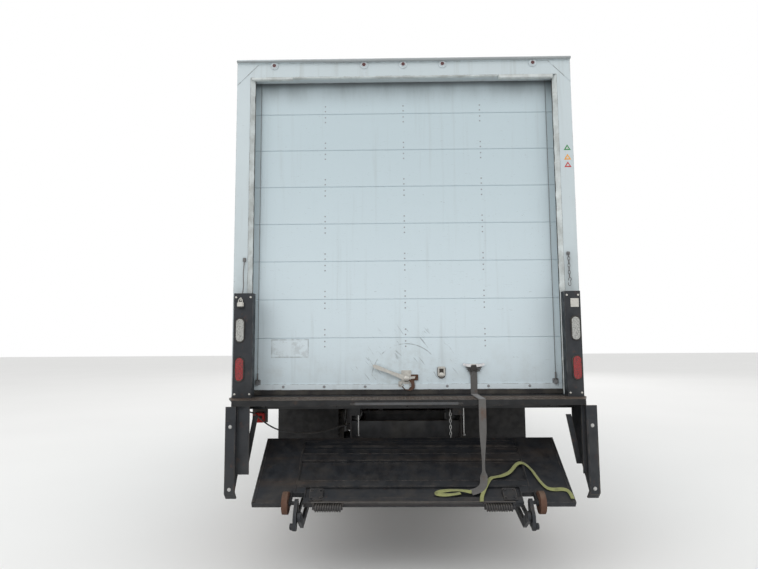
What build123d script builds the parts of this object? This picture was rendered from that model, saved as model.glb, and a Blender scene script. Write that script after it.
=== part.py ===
from build123d import *
from math import cos, radians, sin, tan
import os

# A box truck seen from the rear: conventional cab, dry-freight body with a roll-up
# rear door, and a tuck-under lift gate folded below the rear sill.
# Millimetres. +Y is forward, +X the truck's right, +Z up. The origin is on the ground
# under the middle of the truck's outline.

# Running gear
tyre_radius = 520.0
tyre_width = 280.0
bead_radius = 292.0
rim_width = 236.0
axle_ahead_of_cab = 1700.0
rear_overhang = 2400.0
front_overhang = 1020.0
front_tyre_x = 1030.0
kingpin_x = 865.0
dual_mid_x = 925.0
dual_spacing = 340.0
steer_arm = 180.0
seat_gap = 0.3

# Hood pivots
hood_pin = 12.0
hood_lug = 24.0
hood_pin_back = 50.0
hood_pin_up = 30.0

# Chassis rails and leaf springs
rail_outer = 864.0
rail_height = 254.0
rail_bottom = 786.0
rail_flange = 80.0
rail_web = 10.0
rail_rear = 240.0
spring_width = 76.0
rear_spring_x = 525.0
front_spring_x = 392.0

# Load body
body_length = 7315.0
body_width = 2591.0
body_wall = 50.0
floor_top = 1200.0
floor_thick = 30.0
sill_height = 60.0
roof_top = 3795.0
roof_thick = 60.0
front_corner_radius = 130.0
nose_wall = 60.0
frame_depth = 160.0
post_width = 105.5
header_high = 137.0
header_depth = 110.0
gusset_leg = 200.0
door_recess = 110.0
door_thick = 28.0
panel_pitch = 295.0
bottom_panel = 382.0
door_above_opening = 35.0
header_rail = 70.0
panel_gap = 0.8
door_bottom = 1246.0

# Rear sill, bumper posts and lamp boxes
sill_beam_bottom = 1110.0
plate_reach = 250.0
plate_lip = 40.0
plate_thick = 12.0
lamp_box_top = 1960.0
lamp_box_reach = 90.0
# Side, inner and outer face of the box, middle of its lamps
lamp_box_rows = ((-1, 1126.0, 1265.0, 1217.0), (1, 1157.0, 1271.0, 1229.0))
lamp_long = 165.0
lamp_high = 57.0
stop_lamp_z = 1405.0
backup_lamp_z = 1688.0
dock_post_reach = 260.0
dock_post_bottom = 600.0

# Lift gate, from the rear face of the body and its own centre line
gate_shift = 22.0
arm_length = 900.0
arm_rest_angle = 10.8
arm_pivot_y = 454.0
arm_pivot_z = 638.0
link_offset_y = -20.0
link_offset_z = -55.0
hinge_from_arm_y = 45.0
hinge_from_arm_z = 75.0
fold_angle = 33.6
platform_long = 604.0
platform_half = 1067.0
platform_thick = 40.0
flap_thick = 28.0
flap_start = 150.0
shackle_x = 769.0
shackle_thick = 22.0
lift_arm_thick = 20.0
link_thick = 14.0
running_gap = 3.0
bore_gap = 0.3
side_gap = 6.0
shackle_lug = 28.0
platform_face = 4.0
roller_radius = 72.0
roller_thick = 36.0

# Pull strap on the door
strap_wide = 50.0
strap_thick = 3.0
strap_x = 511.0
strap_top = 1400.0
strap_ear = 14.0

# Cab
cab_gap = 110.0
cab_half = 1020.0
cab_bottom = 1000.0
cab_top = 2640.0
cab_wall = 45.0
cab_floor_top = 1160.0
belt_z = 1760.0
roof_front = 880.0
cowl_from_back = 1330.0
lean_angle = 6.0
door_front_from_back = 985.0
door_rear_from_back = 110.0
door_gap = 8.0
door_hinge_out = 10.0
door_hinge_ahead = 4.0
door_hinge_radius = 9.0
door_pin = 5.0
glass_thick = 6.0
hood_wall = 18.0
hood_rear_top = 1790.0
hood_front_top = 1450.0
hood_rear_half = 830.0
hood_front_half = 640.0
fender_half = 1160.0
fender_top = 1235.0
fender_inner = 560.0
fender_round = 90.0
arch_radius = 645.0
hood_bottom = 780.0
nose_back = 115.0
bumper_depth = 155.0
bumper_top = 690.0
bumper_bottom = 420.0
bumper_half = 1150.0

# Places worked out from the sizes above
arm_angle = radians(arm_rest_angle)
arm_pin_y = arm_pivot_y - arm_length * cos(arm_angle)
arm_pin_z = arm_pivot_z - arm_length * sin(arm_angle)
hinge_y = arm_pin_y + hinge_from_arm_y
hinge_z = arm_pin_z + hinge_from_arm_z
wheelbase = body_length - rear_overhang + cab_gap + axle_ahead_of_cab
front_reach = rear_overhang + wheelbase + front_overhang
tail_reach = shackle_lug - arm_pin_y - link_offset_y
rear_y = (tail_reach - front_reach) / 2
rear_axle_y = rear_y + rear_overhang
front_axle_y = rear_axle_y + wheelbase
front_y = rear_y + front_reach
axle_z = tyre_radius
rail_top = rail_bottom + rail_height
rail_start_y = rear_y + rail_rear
rail_end_y = front_y - bumper_depth
body_half = body_width / 2
body_front_y = rear_y + body_length
floor_bottom = floor_top - floor_thick
bearer_top = floor_bottom
bearer_bottom = rail_top + sill_height
cab_back_y = body_front_y + cab_gap
cowl_y = cab_back_y + cowl_from_back
door_half = body_half - post_width - seat_gap
header_bottom = roof_top - header_high
door_top = header_bottom + door_above_opening
# The top panel is cut off below the rail over the header
panel_limit = roof_top - header_rail - running_gap
hood_pivot = (front_y - nose_back - hood_pin_back, hood_bottom + hood_pin_up)

os.makedirs("parts", exist_ok=True)


def save(piece, name):
    """Label a finished piece and write it to its own STEP file."""
    piece.label = name
    export_step(piece, f"parts/{name}.step")


def save_pair(piece, name):
    """Write a right-hand piece and its mirror image on the left."""
    save(piece, f"{name}_right")
    save(mirror(piece, about=Plane.YZ), f"{name}_left")


def across(y):
    """Plane across the truck at y, X to the right and Z up; extrude minus to go forward."""
    return Plane.XZ.offset(-y)


def beside(x):
    """Plane along the truck at x, Y forward and Z up; extrude plus to go right."""
    return Plane.YZ.offset(x)


def level(z):
    """Horizontal plane at height z."""
    return Plane.XY.offset(z)


def block(x, y, z, mode=Mode.ADD):
    """Straight-sided block between three pairs of coordinates."""
    with Locations(((x[0] + x[1]) / 2, (y[0] + y[1]) / 2, (z[0] + z[1]) / 2)):
        Box(abs(x[1] - x[0]), abs(y[1] - y[0]), abs(z[1] - z[0]), mode=mode)


def bar(x, y, z, radius, mode=Mode.ADD):
    """Round bar along X between two stations."""
    with Locations(((x[0] + x[1]) / 2, y, z)):
        Cylinder(radius, abs(x[1] - x[0]), rotation=(0, 90, 0), mode=mode)


# Chassis frame
# Cross-members, each with its bottom height: distance from the rear face, then from the front
rear_members = ((330, 850), (1750, 880), (3050, 880), (4300, 880))
front_members = ((4545, 880), (3295, 880), (215, 800))
cross_members = rear_members + tuple((front_reach - back, bottom) for back, bottom in front_members)
cross_high = 130.0
cross_flange = 60.0
cross_thick = 8.0
spring_half = 600.0
spring_eye = 24.0
front_spring_half = 480.0
front_spring_y = front_axle_y + 20
rear_eye_z = 735.0
front_eye_z = 700.0

with BuildPart() as chassis_frame:
    with BuildSketch(across(rail_start_y)):
        with Locations((0, rail_bottom + rail_height / 2)):
            Rectangle(rail_outer, rail_height)
            Rectangle(rail_outer - 2 * rail_web, rail_height - 2 * rail_web, mode=Mode.SUBTRACT)
            Rectangle(rail_outer - 2 * rail_flange, rail_height, mode=Mode.SUBTRACT)
    extrude(amount=rail_start_y - rail_end_y)
    for ahead, bottom in cross_members:
        member_y = rear_y + ahead
        with BuildSketch(beside(rail_web - rail_outer / 2)):
            with Locations((member_y, bottom + cross_high / 2)):
                Rectangle(cross_flange, cross_high)
            with Locations((member_y + cross_thick, bottom + cross_high / 2)):
                Rectangle(cross_flange, cross_high - 2 * cross_thick, mode=Mode.SUBTRACT)
        extrude(amount=rail_outer - 2 * rail_web)
    # Spring hangers: outboard castings at the rear, under the rails in front
    for side in (-1, 1):
        for end in (-1, 1):
            y = rear_axle_y + end * spring_half
            hanger_x = (side * rail_outer / 2, side * (rear_spring_x + spring_width / 2))
            block(hanger_x, (y - 45, y + 45), (rear_eye_z + spring_eye + seat_gap, rail_bottom + 150))
            y = front_spring_y + end * front_spring_half
            hanger_x = (side * (front_spring_x - spring_width / 2), side * rail_outer / 2)
            block(hanger_x, (y - 40, y + 40), (front_eye_z + spring_eye + seat_gap, rail_bottom))
        bar((side * (rail_outer / 2 - 5), side * (rail_outer / 2 + 40)), *hood_pivot, hood_pin)
save(chassis_frame.part, "chassis_frame")

# Leaf springs: axle y, x, half length, eye height, bottom at the axle
spring_rows = (
    (rear_axle_y, rear_spring_x, spring_half, rear_eye_z, 612.0),
    (front_spring_y, front_spring_x, front_spring_half, front_eye_z, 472.0),
)
spring_thick = 78.0
leaf_end_thick = 14.0

with BuildPart() as leaf_springs:
    for y, x, half, eye_z, bottom in spring_rows:
        for side in (-1, 1):
            with BuildSketch(beside(side * x - spring_width / 2)):
                with BuildLine():
                    low = ThreePointArc((y - half, eye_z - 7), (y, bottom), (y + half, eye_z - 7))
                    high = ThreePointArc(
                        (y - half, eye_z + leaf_end_thick - 7),
                        (y, bottom + spring_thick),
                        (y + half, eye_z + leaf_end_thick - 7),
                    )
                    Line(low @ 0, high @ 0)
                    Line(low @ 1, high @ 1)
                make_face()
                with Locations((y - half, eye_z), (y + half, eye_z)):
                    Circle(spring_eye)
            extrude(amount=spring_width)
save(leaf_springs.part, "leaf_springs")

# Rear axle: banjo housing with its nose forward, tubes, spring pads and backing plates
axle_tube = 62.0
banjo_radius = 205.0
spindle_radius = 40.0
chamber_radius = 80.0
spindle_end = dual_mid_x + 60
brake_radius = 205.0

with BuildPart() as rear_axle:
    with BuildSketch(Plane(origin=(0, rear_axle_y, axle_z), x_dir=(1, 0, 0), z_dir=(0, -1, 0))):
        with BuildLine():
            Polyline(
                (0, 0), (spindle_end, 0), (spindle_end, spindle_radius), (660, spindle_radius), (620, axle_tube)
            )
            Line((620, axle_tube), (260, axle_tube + 6))
            ThreePointArc((260, axle_tube + 6), (165, 140), (0, banjo_radius))
            Line((0, banjo_radius), (0, 0))
        make_face()
        mirror(about=Plane.YZ)
    revolve(axis=Axis((0, rear_axle_y, axle_z), (1, 0, 0)))
    with BuildSketch(across(rear_axle_y)):
        with Locations((0, axle_z)):
            Circle(150)
    extrude(amount=-330, taper=12)
    for side in (-1, 1):
        pad_x = (side * (rear_spring_x - 45), side * (rear_spring_x + 45))
        block(pad_x, (rear_axle_y - 70, rear_axle_y + 70), (axle_z, 612.0 - seat_gap))
        bar((side * 640, side * 648), rear_axle_y, axle_z, brake_radius - 12)
        # Brake chamber behind the tube on its bracket
        bar((side * 300, side * 470), rear_axle_y - 190, axle_z + 60, chamber_radius)
        bar((side * 470, side * 500), rear_axle_y - 190, axle_z + 60, 24)
        block((side * 470, side * 482), (rear_axle_y - 240, rear_axle_y - 20), (axle_z + 5, axle_z + 85))
save(rear_axle.part, "rear_axle")


def tyre(centre_x, centre_y):
    """Tyre with bulged side walls and a crowned tread, about its own axle line."""
    half = tyre_width / 2
    bead = rim_width / 2 - rim_lip - seat_gap
    bead_top = bead_radius + 16
    with BuildPart() as ring:
        with BuildSketch(Plane(origin=(centre_x, centre_y, axle_z), x_dir=(1, 0, 0), z_dir=(0, -1, 0))):
            with BuildLine():
                Polyline((-bead, bead_top), (-bead, bead_radius), (bead, bead_radius), (bead, bead_top))
                ThreePointArc((bead, bead_top), (half, 400), (half - 18, tyre_radius - 32))
                Line((half - 18, tyre_radius - 32), (half - 38, tyre_radius - 6))
                ThreePointArc(
                    (half - 38, tyre_radius - 6), (0, tyre_radius), (38 - half, tyre_radius - 6)
                )
                Line((38 - half, tyre_radius - 6), (18 - half, tyre_radius - 32))
                ThreePointArc((18 - half, tyre_radius - 32), (-half, 400), (-bead, bead_top))
            make_face()
        revolve(axis=Axis((centre_x, centre_y, axle_z), (1, 0, 0)))
    return ring.part


rim_radius = bead_radius - seat_gap
rim_flange = bead_radius + 14
rim_thick = 16.0
rim_lip = 8.0
disc_thick = 14.0
hand_hole = 28.0
hand_hole_circle = 205.0
hand_holes = 10
stud_circle = 167.5
studs = 10


def rim_profile(centre, disc, hub_out):
    """Half section of one rim: barrel, two flanges and a disc that joins the hub."""
    half = rim_width / 2
    for sign in (-1, 1):
        with Locations((centre + sign * (half - rim_lip / 2), (rim_flange + rim_radius - rim_thick) / 2)):
            Rectangle(rim_lip, rim_flange - rim_radius + rim_thick)
    with Locations((centre, rim_radius - rim_thick / 2)):
        Rectangle(rim_width, rim_thick)
    Polygon(
        (disc, 62),
        (disc, 190),
        (centre, rim_radius - rim_thick),
        (centre + disc_thick * 1.4, rim_radius - rim_thick),
        (disc + disc_thick, 190),
        (disc + disc_thick, 110),
        (hub_out - 30, 100),
        (hub_out, 85),
        (hub_out, 0),
        (hub_out - 20, 0),
        (hub_out - 20, 62),
        align=None,
    )


def hand_hole_cuts(disc, centre_y):
    """Round hand holes through a disc."""
    with Locations(Location((disc, centre_y, axle_z), (0, 90, 0))):
        with PolarLocations(hand_hole_circle, hand_holes):
            Cylinder(hand_hole, 200, mode=Mode.SUBTRACT)


# Rear twin wheels: the two discs bolt back to back at the hub
with BuildPart() as rear_rims:
    with BuildSketch(Plane(origin=(0, rear_axle_y, axle_z), x_dir=(1, 0, 0), z_dir=(0, -1, 0))):
        rim_profile(dual_mid_x + dual_spacing / 2, dual_mid_x, dual_mid_x + 130)
        rim_profile(dual_mid_x - dual_spacing / 2, dual_mid_x - disc_thick, dual_mid_x + 40)
        with Locations(((dual_mid_x + 656) / 2, brake_radius - 6)):
            Rectangle(dual_mid_x - 656, 12)
    revolve(axis=Axis((0, rear_axle_y, axle_z), (1, 0, 0)))
    hand_hole_cuts(dual_mid_x + 60, rear_axle_y)
    bar((600, spindle_end + 4), rear_axle_y, axle_z, spindle_radius + bore_gap, mode=Mode.SUBTRACT)
save_pair(rear_rims.part, "rear_rims")

with BuildPart() as rear_tyres:
    add(tyre(dual_mid_x - dual_spacing / 2, rear_axle_y))
    add(tyre(dual_mid_x + dual_spacing / 2, rear_axle_y))
save_pair(rear_tyres.part, "rear_tyres")

# Front wheels: disc near the outer face, hub standing out of it
front_disc = front_tyre_x + 62
stub_radius = 32.0
with BuildPart() as front_rim:
    with BuildSketch(Plane(origin=(0, front_axle_y, axle_z), x_dir=(1, 0, 0), z_dir=(0, -1, 0))):
        rim_profile(front_tyre_x, front_disc, front_disc + 75)
        with Locations((front_disc - 45, 70)):
            Rectangle(100, 40)
        with Locations((front_disc - 36, (62 + stub_radius + bore_gap) / 2)):
            Rectangle(56, 62 - stub_radius - bore_gap)
        with Locations((front_disc - 75, 150)):
            Rectangle(12, 100)
        with Locations((front_disc - 110, brake_radius - 18)):
            Rectangle(82, 12)
        with Locations((front_disc - 75, 70)):
            Rectangle(40, 60)
    revolve(axis=Axis((0, front_axle_y, axle_z), (1, 0, 0)))
    hand_hole_cuts(front_disc + 60, front_axle_y)
save_pair(front_rim.part, "front_rim")
save_pair(tyre(front_tyre_x, front_axle_y), "front_tyre")

# Front axle: dropped I-beam with a boss for each kingpin
beam_low = 365.0
beam_high = 100.0
boss_radius = 44.0
boss_half = 60.0
kingpin_radius = 20.0
yoke_thick = 32.0
with BuildPart() as front_axle:
    with BuildSketch(across(front_axle_y - 45)):
        with BuildLine():
            Polyline(
                (0, beam_low),
                (520, beam_low),
                (kingpin_x - 60, axle_z - boss_half + 10),
                (kingpin_x, axle_z - boss_half + 10),
                (kingpin_x, axle_z + boss_half - 10),
                (kingpin_x - 90, axle_z + boss_half - 10),
                (490, beam_low + beam_high),
                (0, beam_low + beam_high),
                (0, beam_low),
            )
        make_face()
        mirror(about=Plane.YZ)
    extrude(amount=-90)
    for y in (front_axle_y - 45, front_axle_y + 12):
        with BuildSketch(across(y)):
            with Locations((0, beam_low + beam_high / 2)):
                Rectangle(960, beam_high - 36)
        extrude(amount=-33, mode=Mode.SUBTRACT)
    for side in (-1, 1):
        with Locations((side * kingpin_x, front_axle_y, axle_z)):
            Cylinder(boss_radius, 2 * boss_half)
            Cylinder(kingpin_radius, 2 * (boss_half + yoke_thick + 4))
        pad_x = (side * (front_spring_x - 42), side * (front_spring_x + 42))
        block(pad_x, (front_axle_y - 60, front_axle_y + 60), (beam_low + beam_high - 12, 472 - seat_gap))
save(front_axle.part, "front_axle")

# Steering knuckle: yoke round the axle boss, stub spindle, backing plate, steering arm
web_x = kingpin_x + boss_radius + 8
yoke_low = axle_z - boss_half - 4
yoke_high = axle_z + boss_half + 4
tie_rod_z = yoke_low - yoke_thick - 34
stud_radius = 10.0
with BuildPart() as knuckle:
    for low, high in ((yoke_low - yoke_thick, yoke_low), (yoke_high, yoke_high + yoke_thick)):
        with BuildSketch(level(low)):
            with Locations((kingpin_x, front_axle_y)):
                Circle(40)
            with Locations(((kingpin_x + web_x + 20) / 2, front_axle_y)):
                Rectangle(web_x + 20 - kingpin_x, 70)
        extrude(amount=high - low)
    block((web_x, web_x + 20), (front_axle_y - 45, front_axle_y + 45), (yoke_low - yoke_thick, yoke_high + yoke_thick))
    bar((web_x + 10, web_x + 24), front_axle_y, axle_z, brake_radius - 30)
    bar((web_x + 10, front_disc - 4), front_axle_y, axle_z, stub_radius)
    with BuildSketch(level(yoke_low - yoke_thick)):
        with BuildLine():
            Polyline(
                (kingpin_x - 26, front_axle_y),
                (kingpin_x - 18, front_axle_y - steer_arm),
                (kingpin_x + 18, front_axle_y - steer_arm),
                (kingpin_x + 26, front_axle_y),
                (kingpin_x - 26, front_axle_y),
            )
        make_face()
        with Locations((kingpin_x, front_axle_y - steer_arm)):
            Circle(22)
    extrude(amount=20)
    with Locations((kingpin_x, front_axle_y, axle_z)):
        Cylinder(kingpin_radius + bore_gap, 400, mode=Mode.SUBTRACT)
    with Locations((kingpin_x, front_axle_y - steer_arm, yoke_low - yoke_thick)):
        Cylinder(stud_radius + bore_gap, 100, mode=Mode.SUBTRACT)
save_pair(knuckle.part, "knuckle")

# Tie rod: tube between the two steering arms, a ball stud standing up at each end
with BuildPart() as tie_rod:
    tie_y = front_axle_y - steer_arm
    bar((-kingpin_x, kingpin_x), tie_y, tie_rod_z, 17)
    with Locations((-kingpin_x, tie_y, tie_rod_z), (kingpin_x, tie_y, tie_rod_z)):
        Sphere(26)
        Cylinder(stud_radius, 64, align=(Align.CENTER, Align.CENTER, Align.MIN))
save(tie_rod.part, "tie_rod")

# Engine and gearbox in one closed block, with the pan and bell housing stepped out
engine_front = cowl_y + 960
gearbox_rear = cab_back_y + 420
shaft_z = 800.0
with BuildPart() as engine_block:
    with BuildSketch(across(cowl_y + 90)):
        with Locations((0, 1140)):
            RectangleRounded(540, 640, 60)
        with Locations((0, 760)):
            Rectangle(380, 260)
    extrude(amount=cowl_y + 90 - engine_front)
    with BuildSketch(across(cowl_y + 90)):
        with Locations((0, 860)):
            Circle(230)
    with BuildSketch(across(gearbox_rear)):
        with Locations((0, shaft_z + 10)):
            Circle(120)
    loft()
save(engine_block.part, "engine_block")

with BuildPart() as radiator:
    core_half = rail_outer / 2 - rail_flange - seat_gap
    block((-core_half, core_half), (engine_front + 60, engine_front + 130), (rail_top - 90, hood_front_top - 50))
    block((-300, 300), (engine_front + 130, engine_front + 150), (rail_top - 50, hood_front_top - 110))
save(radiator.part, "radiator")

# Driveshaft, from the gearbox flange to the axle nose
pinion_y = rear_axle_y + 330
shaft_from = (0, pinion_y + 2 * seat_gap, axle_z)
shaft_to = (0, gearbox_rear - 2 * seat_gap, shaft_z)
shaft_length = ((shaft_to[1] - shaft_from[1]) ** 2 + (shaft_to[2] - shaft_from[2]) ** 2) ** 0.5
shaft_plane = Plane(
    origin=shaft_from,
    x_dir=(1, 0, 0),
    z_dir=(0, shaft_to[1] - shaft_from[1], shaft_to[2] - shaft_from[2]),
)
with BuildPart() as drive_shaft:
    with BuildSketch(shaft_plane.offset(40)):
        Circle(50)
    extrude(amount=shaft_length - 80)
    for y, z in ((shaft_from[1], axle_z), (shaft_to[1] - 24, shaft_z)):
        with BuildSketch(across(y)):
            with Locations((0, z)):
                Circle(72)
        extrude(amount=-24)
    with Locations((0, shaft_from[1] + 62, axle_z), (0, shaft_to[1] - 62, shaft_z)):
        Sphere(58)
save(drive_shaft.part, "drive_shaft")


# Fuel tank on the left, battery box on the right: each hangs on the rail below its door
tank_bottom = 480.0
tank_high = 420.0
tank_rear_y = cab_back_y + 60
tank_long = 880.0
tank_out = 1000.0
step_reach = 70.0
with BuildPart() as fuel_tank:
    with BuildSketch(across(tank_rear_y)):
        with Locations((-(rail_outer / 2 + 40 + tank_out) / 2, tank_bottom + tank_high / 2)):
            RectangleRounded(tank_out - rail_outer / 2 - 40, tank_high, 110)
    extrude(amount=-tank_long)
    for ahead in (120, tank_long - 180):
        y = (tank_rear_y + ahead, tank_rear_y + ahead + 60)
        block((-rail_outer / 2, -rail_outer / 2 - 90), y, (tank_bottom + 110, rail_bottom + 190))
    for z in (tank_bottom + 30, tank_bottom + 270):
        block((-tank_out + 60, -tank_out - step_reach), (tank_rear_y + 180, tank_rear_y + 800), (z, z + 30))
save(fuel_tank.part, "fuel_tank")

with BuildPart() as battery_box:
    with BuildSketch(across(tank_rear_y + 240)):
        with Locations(((rail_outer / 2 + tank_out) / 2, tank_bottom + tank_high / 2 + 20)):
            RectangleRounded(tank_out - rail_outer / 2, tank_high - 40, 24)
    extrude(amount=40 - tank_long + 200)
    for z in (tank_bottom + 40, tank_bottom + 270):
        block((tank_out - 40, tank_out + step_reach), (tank_rear_y + 240, tank_rear_y + 840), (z, z + 30))
save(battery_box.part, "battery_box")

# Silencer under the right side with its pipe to the gearbox side and a side outlet
with BuildPart() as exhaust:
    silencer_x = 640.0
    silencer_z = 690.0
    with BuildSketch(across(body_front_y - 1150)):
        with Locations((silencer_x, silencer_z)):
            Circle(125)
    extrude(amount=-900)
    block((rail_outer / 2, silencer_x), (body_front_y - 1000, body_front_y - 960), (silencer_z, rail_bottom + 120))
    block((rail_outer / 2, silencer_x), (body_front_y - 480, body_front_y - 440), (silencer_z, rail_bottom + 120))
    with BuildSketch(across(body_front_y - 260)):
        with Locations((silencer_x - 30, silencer_z)):
            Circle(50)
    extrude(amount=-300)
    bar((silencer_x, body_half - 60), body_front_y - 1110, silencer_z, 50)
save(exhaust.part, "exhaust")

# Air reservoirs across the frame behind the cab
with BuildPart() as air_tanks:
    for ahead in (700, 1000):
        y = body_front_y - 1500 - ahead
        bar((-rail_outer / 2 - 40, -rail_outer / 2 - 560), y, 700, 120)
        block((-rail_outer / 2, -rail_outer / 2 - 60), (y - 40, y + 40), (680, rail_bottom + 120))
save(air_tanks.part, "air_tanks")

# Front bumper, swept back at its ends
with BuildPart() as front_bumper:
    with BuildSketch(level(bumper_bottom)):
        with BuildLine():
            ThreePointArc((-bumper_half, front_y - 130), (0, front_y), (bumper_half, front_y - 130))
            Polyline(
                (bumper_half, front_y - 130),
                (bumper_half, front_y - bumper_depth),
                (-bumper_half, front_y - bumper_depth),
                (-bumper_half, front_y - 130),
            )
        make_face()
    extrude(amount=bumper_top - bumper_bottom)
    fillet(front_bumper.edges().filter_by(Axis.Z).sort_by(Axis.Y)[2:], 12)
    for side in (-1, 1):
        with BuildSketch(beside(side * rail_outer / 2)):
            Polygon(
                (front_y - bumper_depth + 5, bumper_bottom + 50),
                (front_y - bumper_depth + 5, bumper_top - 5),
                (front_y - bumper_depth - 125, rail_bottom - seat_gap),
                (front_y - bumper_depth - 260, rail_bottom - seat_gap),
                (front_y - bumper_depth - 260, rail_bottom - 40),
                align=None,
            )
        extrude(amount=-side * 16)
save(front_bumper.part, "front_bumper")


# Cab
def cab_form(inset, low):
    """Closed form of the cab, its skin moved in by inset, down to height low."""
    back = cab_back_y + inset
    top = cab_top - inset
    lean = tan(radians(lean_angle))
    slope = (cowl_from_back - roof_front) / (cab_top - belt_z)
    shift = inset * (1 + slope**2) ** 0.5
    screen_low_y = cowl_y - shift
    with BuildPart() as form:
        with BuildSketch(beside(inset - cab_half)):
            Polygon(
                (back, low),
                (back, top),
                (screen_low_y - slope * (top - belt_z), top),
                (screen_low_y, belt_z),
                (cowl_y - inset, belt_z - 40),
                (cowl_y - inset, low),
                align=None,
            )
        extrude(amount=2 * (cab_half - inset))
        with BuildSketch(across(back)):
            half = cab_half - inset
            for side in (-1, 1):
                Polygon(
                    (side * half, belt_z),
                    (side * (half - lean * (top + 10 - belt_z)), top + 10),
                    (side * (half + 50), top + 10),
                    (side * (half + 50), belt_z),
                    align=None,
                )
        extrude(amount=-3000, mode=Mode.SUBTRACT)
        fillet(form.faces().sort_by(Axis.Z)[-1].edges(), 110 - inset)
    return form.part


def door_prism(grow):
    """Outline of the right door, grown all round, as a prism through the side wall."""
    front = cab_back_y + door_front_from_back
    rear = cab_back_y + door_rear_from_back
    low_cut = cab_bottom - 50
    with BuildPart() as prism:
        with BuildSketch(beside(cab_half - 260)):
            Polygon(
                (rear, cab_bottom + 40),
                (front, cab_bottom + 40),
                (front, belt_z + 40),
                (front - 130, cab_top - 160),
                (rear, cab_top - 160),
                align=None,
            )
            offset(amount=-60)
            offset(amount=60 + grow)
        extrude(amount=400)
        # Below the cab floor the door is no thicker than the side wall
        block((0, cab_half - cab_wall - grow), (rear - 50, front + 50), (low_cut, cab_floor_top), mode=Mode.SUBTRACT)
    return prism.part


def window_prism(shrink):
    """Outline of the right door's window as a prism."""
    front = cab_back_y + door_front_from_back
    rear = cab_back_y + door_rear_from_back
    with BuildPart() as prism:
        with BuildSketch(beside(cab_half - 260)):
            Polygon(
                (rear + 80, belt_z + 30),
                (front - 75, belt_z + 30),
                (front - 195, cab_top - 235),
                (rear + 80, cab_top - 235),
                align=None,
            )
            offset(amount=-40)
            offset(amount=40 - shrink)
        extrude(amount=400)
    return prism.part


def hinge_leaf(reach, spans):
    """Knuckles and leaves of the right door's hinges; reach says which way the leaf lies."""
    x = cab_half + door_hinge_out
    y = door_hinge_y
    for low, high in spans:
        with Locations((x, y, (low + high) / 2)):
            Cylinder(door_hinge_radius, high - low)
        block((cab_half - 1, cab_half + 6), (y, y + reach), (low, high))


door_hinge_low = (1290.0, 1620.0)
door_knuckle = 60.0
frame_knuckle = 24.0
knuckle_gap = 1.0
door_hinge_y = cab_back_y + door_front_from_back + door_hinge_ahead

screen_slope = (cowl_from_back - roof_front) / (cab_top - belt_z)
screen_plane = Plane(
    origin=(0, cowl_y - screen_slope * (cab_top - belt_z) / 2, (cab_top + belt_z) / 2),
    x_dir=(1, 0, 0),
    z_dir=(0, 1, screen_slope),
)
screen_high = 760.0
screen_wide = 1580.0

cab_outer = cab_form(0, cab_bottom)
cab_inner = cab_form(cab_wall, cab_floor_top)
door_hole = door_prism(door_gap)
wheelhouse_radius = arch_radius - 15

with BuildPart() as cab_shell:
    add(cab_outer)
    add(cab_inner, mode=Mode.SUBTRACT)
    add(door_hole, mode=Mode.SUBTRACT)
    add(mirror(door_hole, about=Plane.YZ), mode=Mode.SUBTRACT)
    block((60 - cab_half, cab_half - 60), (cab_back_y + 40, cowl_y - 40), (cab_bottom, cab_floor_top - 45), mode=Mode.SUBTRACT)
    block((-500, 500), (cab_back_y - 1, cowl_y + 1), (cab_bottom - 1, cab_floor_top - 45), mode=Mode.SUBTRACT)
    with BuildSketch(screen_plane.offset(-120)):
        RectangleRounded(screen_wide, screen_high, 90)
    extrude(amount=240, mode=Mode.SUBTRACT)
    for side in (-1, 1):
        bar((side * 560, side * 1100), front_axle_y, axle_z, wheelhouse_radius, mode=Mode.SUBTRACT)
    for side in (-1, 1):
        for y in (cab_back_y + 80, cowl_y - 160):
            block((side * 360, side * 430), (y, y + 90), (rail_top, cab_floor_top - 40))
    with BuildPart() as frame_hinges:
        for low in door_hinge_low:
            high = low + door_knuckle + knuckle_gap
            hinge_leaf(75, ((low - frame_knuckle - knuckle_gap, low - knuckle_gap), (high, high + frame_knuckle)))
            with Locations((cab_half + door_hinge_out, door_hinge_y, low + door_knuckle / 2)):
                Cylinder(door_pin, door_knuckle + 2 * frame_knuckle)
    add(mirror(frame_hinges.part, about=Plane.YZ))
save(cab_shell.part, "cab_shell")

with BuildPart() as windshield:
    with BuildSketch(screen_plane.offset(-24)):
        RectangleRounded(screen_wide - 2 * seat_gap, screen_high - 2 * seat_gap, 90)
    extrude(amount=glass_thick)
save(windshield.part, "windshield")

with BuildPart() as cab_door:
    add(cab_outer)
    add(cab_inner, mode=Mode.SUBTRACT)
    add(door_prism(0), mode=Mode.INTERSECT)
    add(window_prism(0), mode=Mode.SUBTRACT)
    hinge_leaf(-80, [(low, low + door_knuckle) for low in door_hinge_low])
    for low in door_hinge_low:
        with Locations((cab_half + door_hinge_out, door_hinge_y, low)):
            Cylinder(door_pin + bore_gap, 300, mode=Mode.SUBTRACT)
save_pair(cab_door.part, "cab_door")

with BuildPart() as door_glass:
    add(cab_form(20, cab_bottom))
    add(cab_form(20 + glass_thick, cab_bottom), mode=Mode.SUBTRACT)
    add(window_prism(seat_gap), mode=Mode.INTERSECT)
save_pair(door_glass.part, "door_glass")


# Hood: one moulding with the fenders, open below and behind
hood_rear_y = cowl_y + 8
hood_front_y = front_y - nose_back
band_rear_y = front_axle_y - arch_radius - 55
band_inner = cab_half + 30


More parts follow.
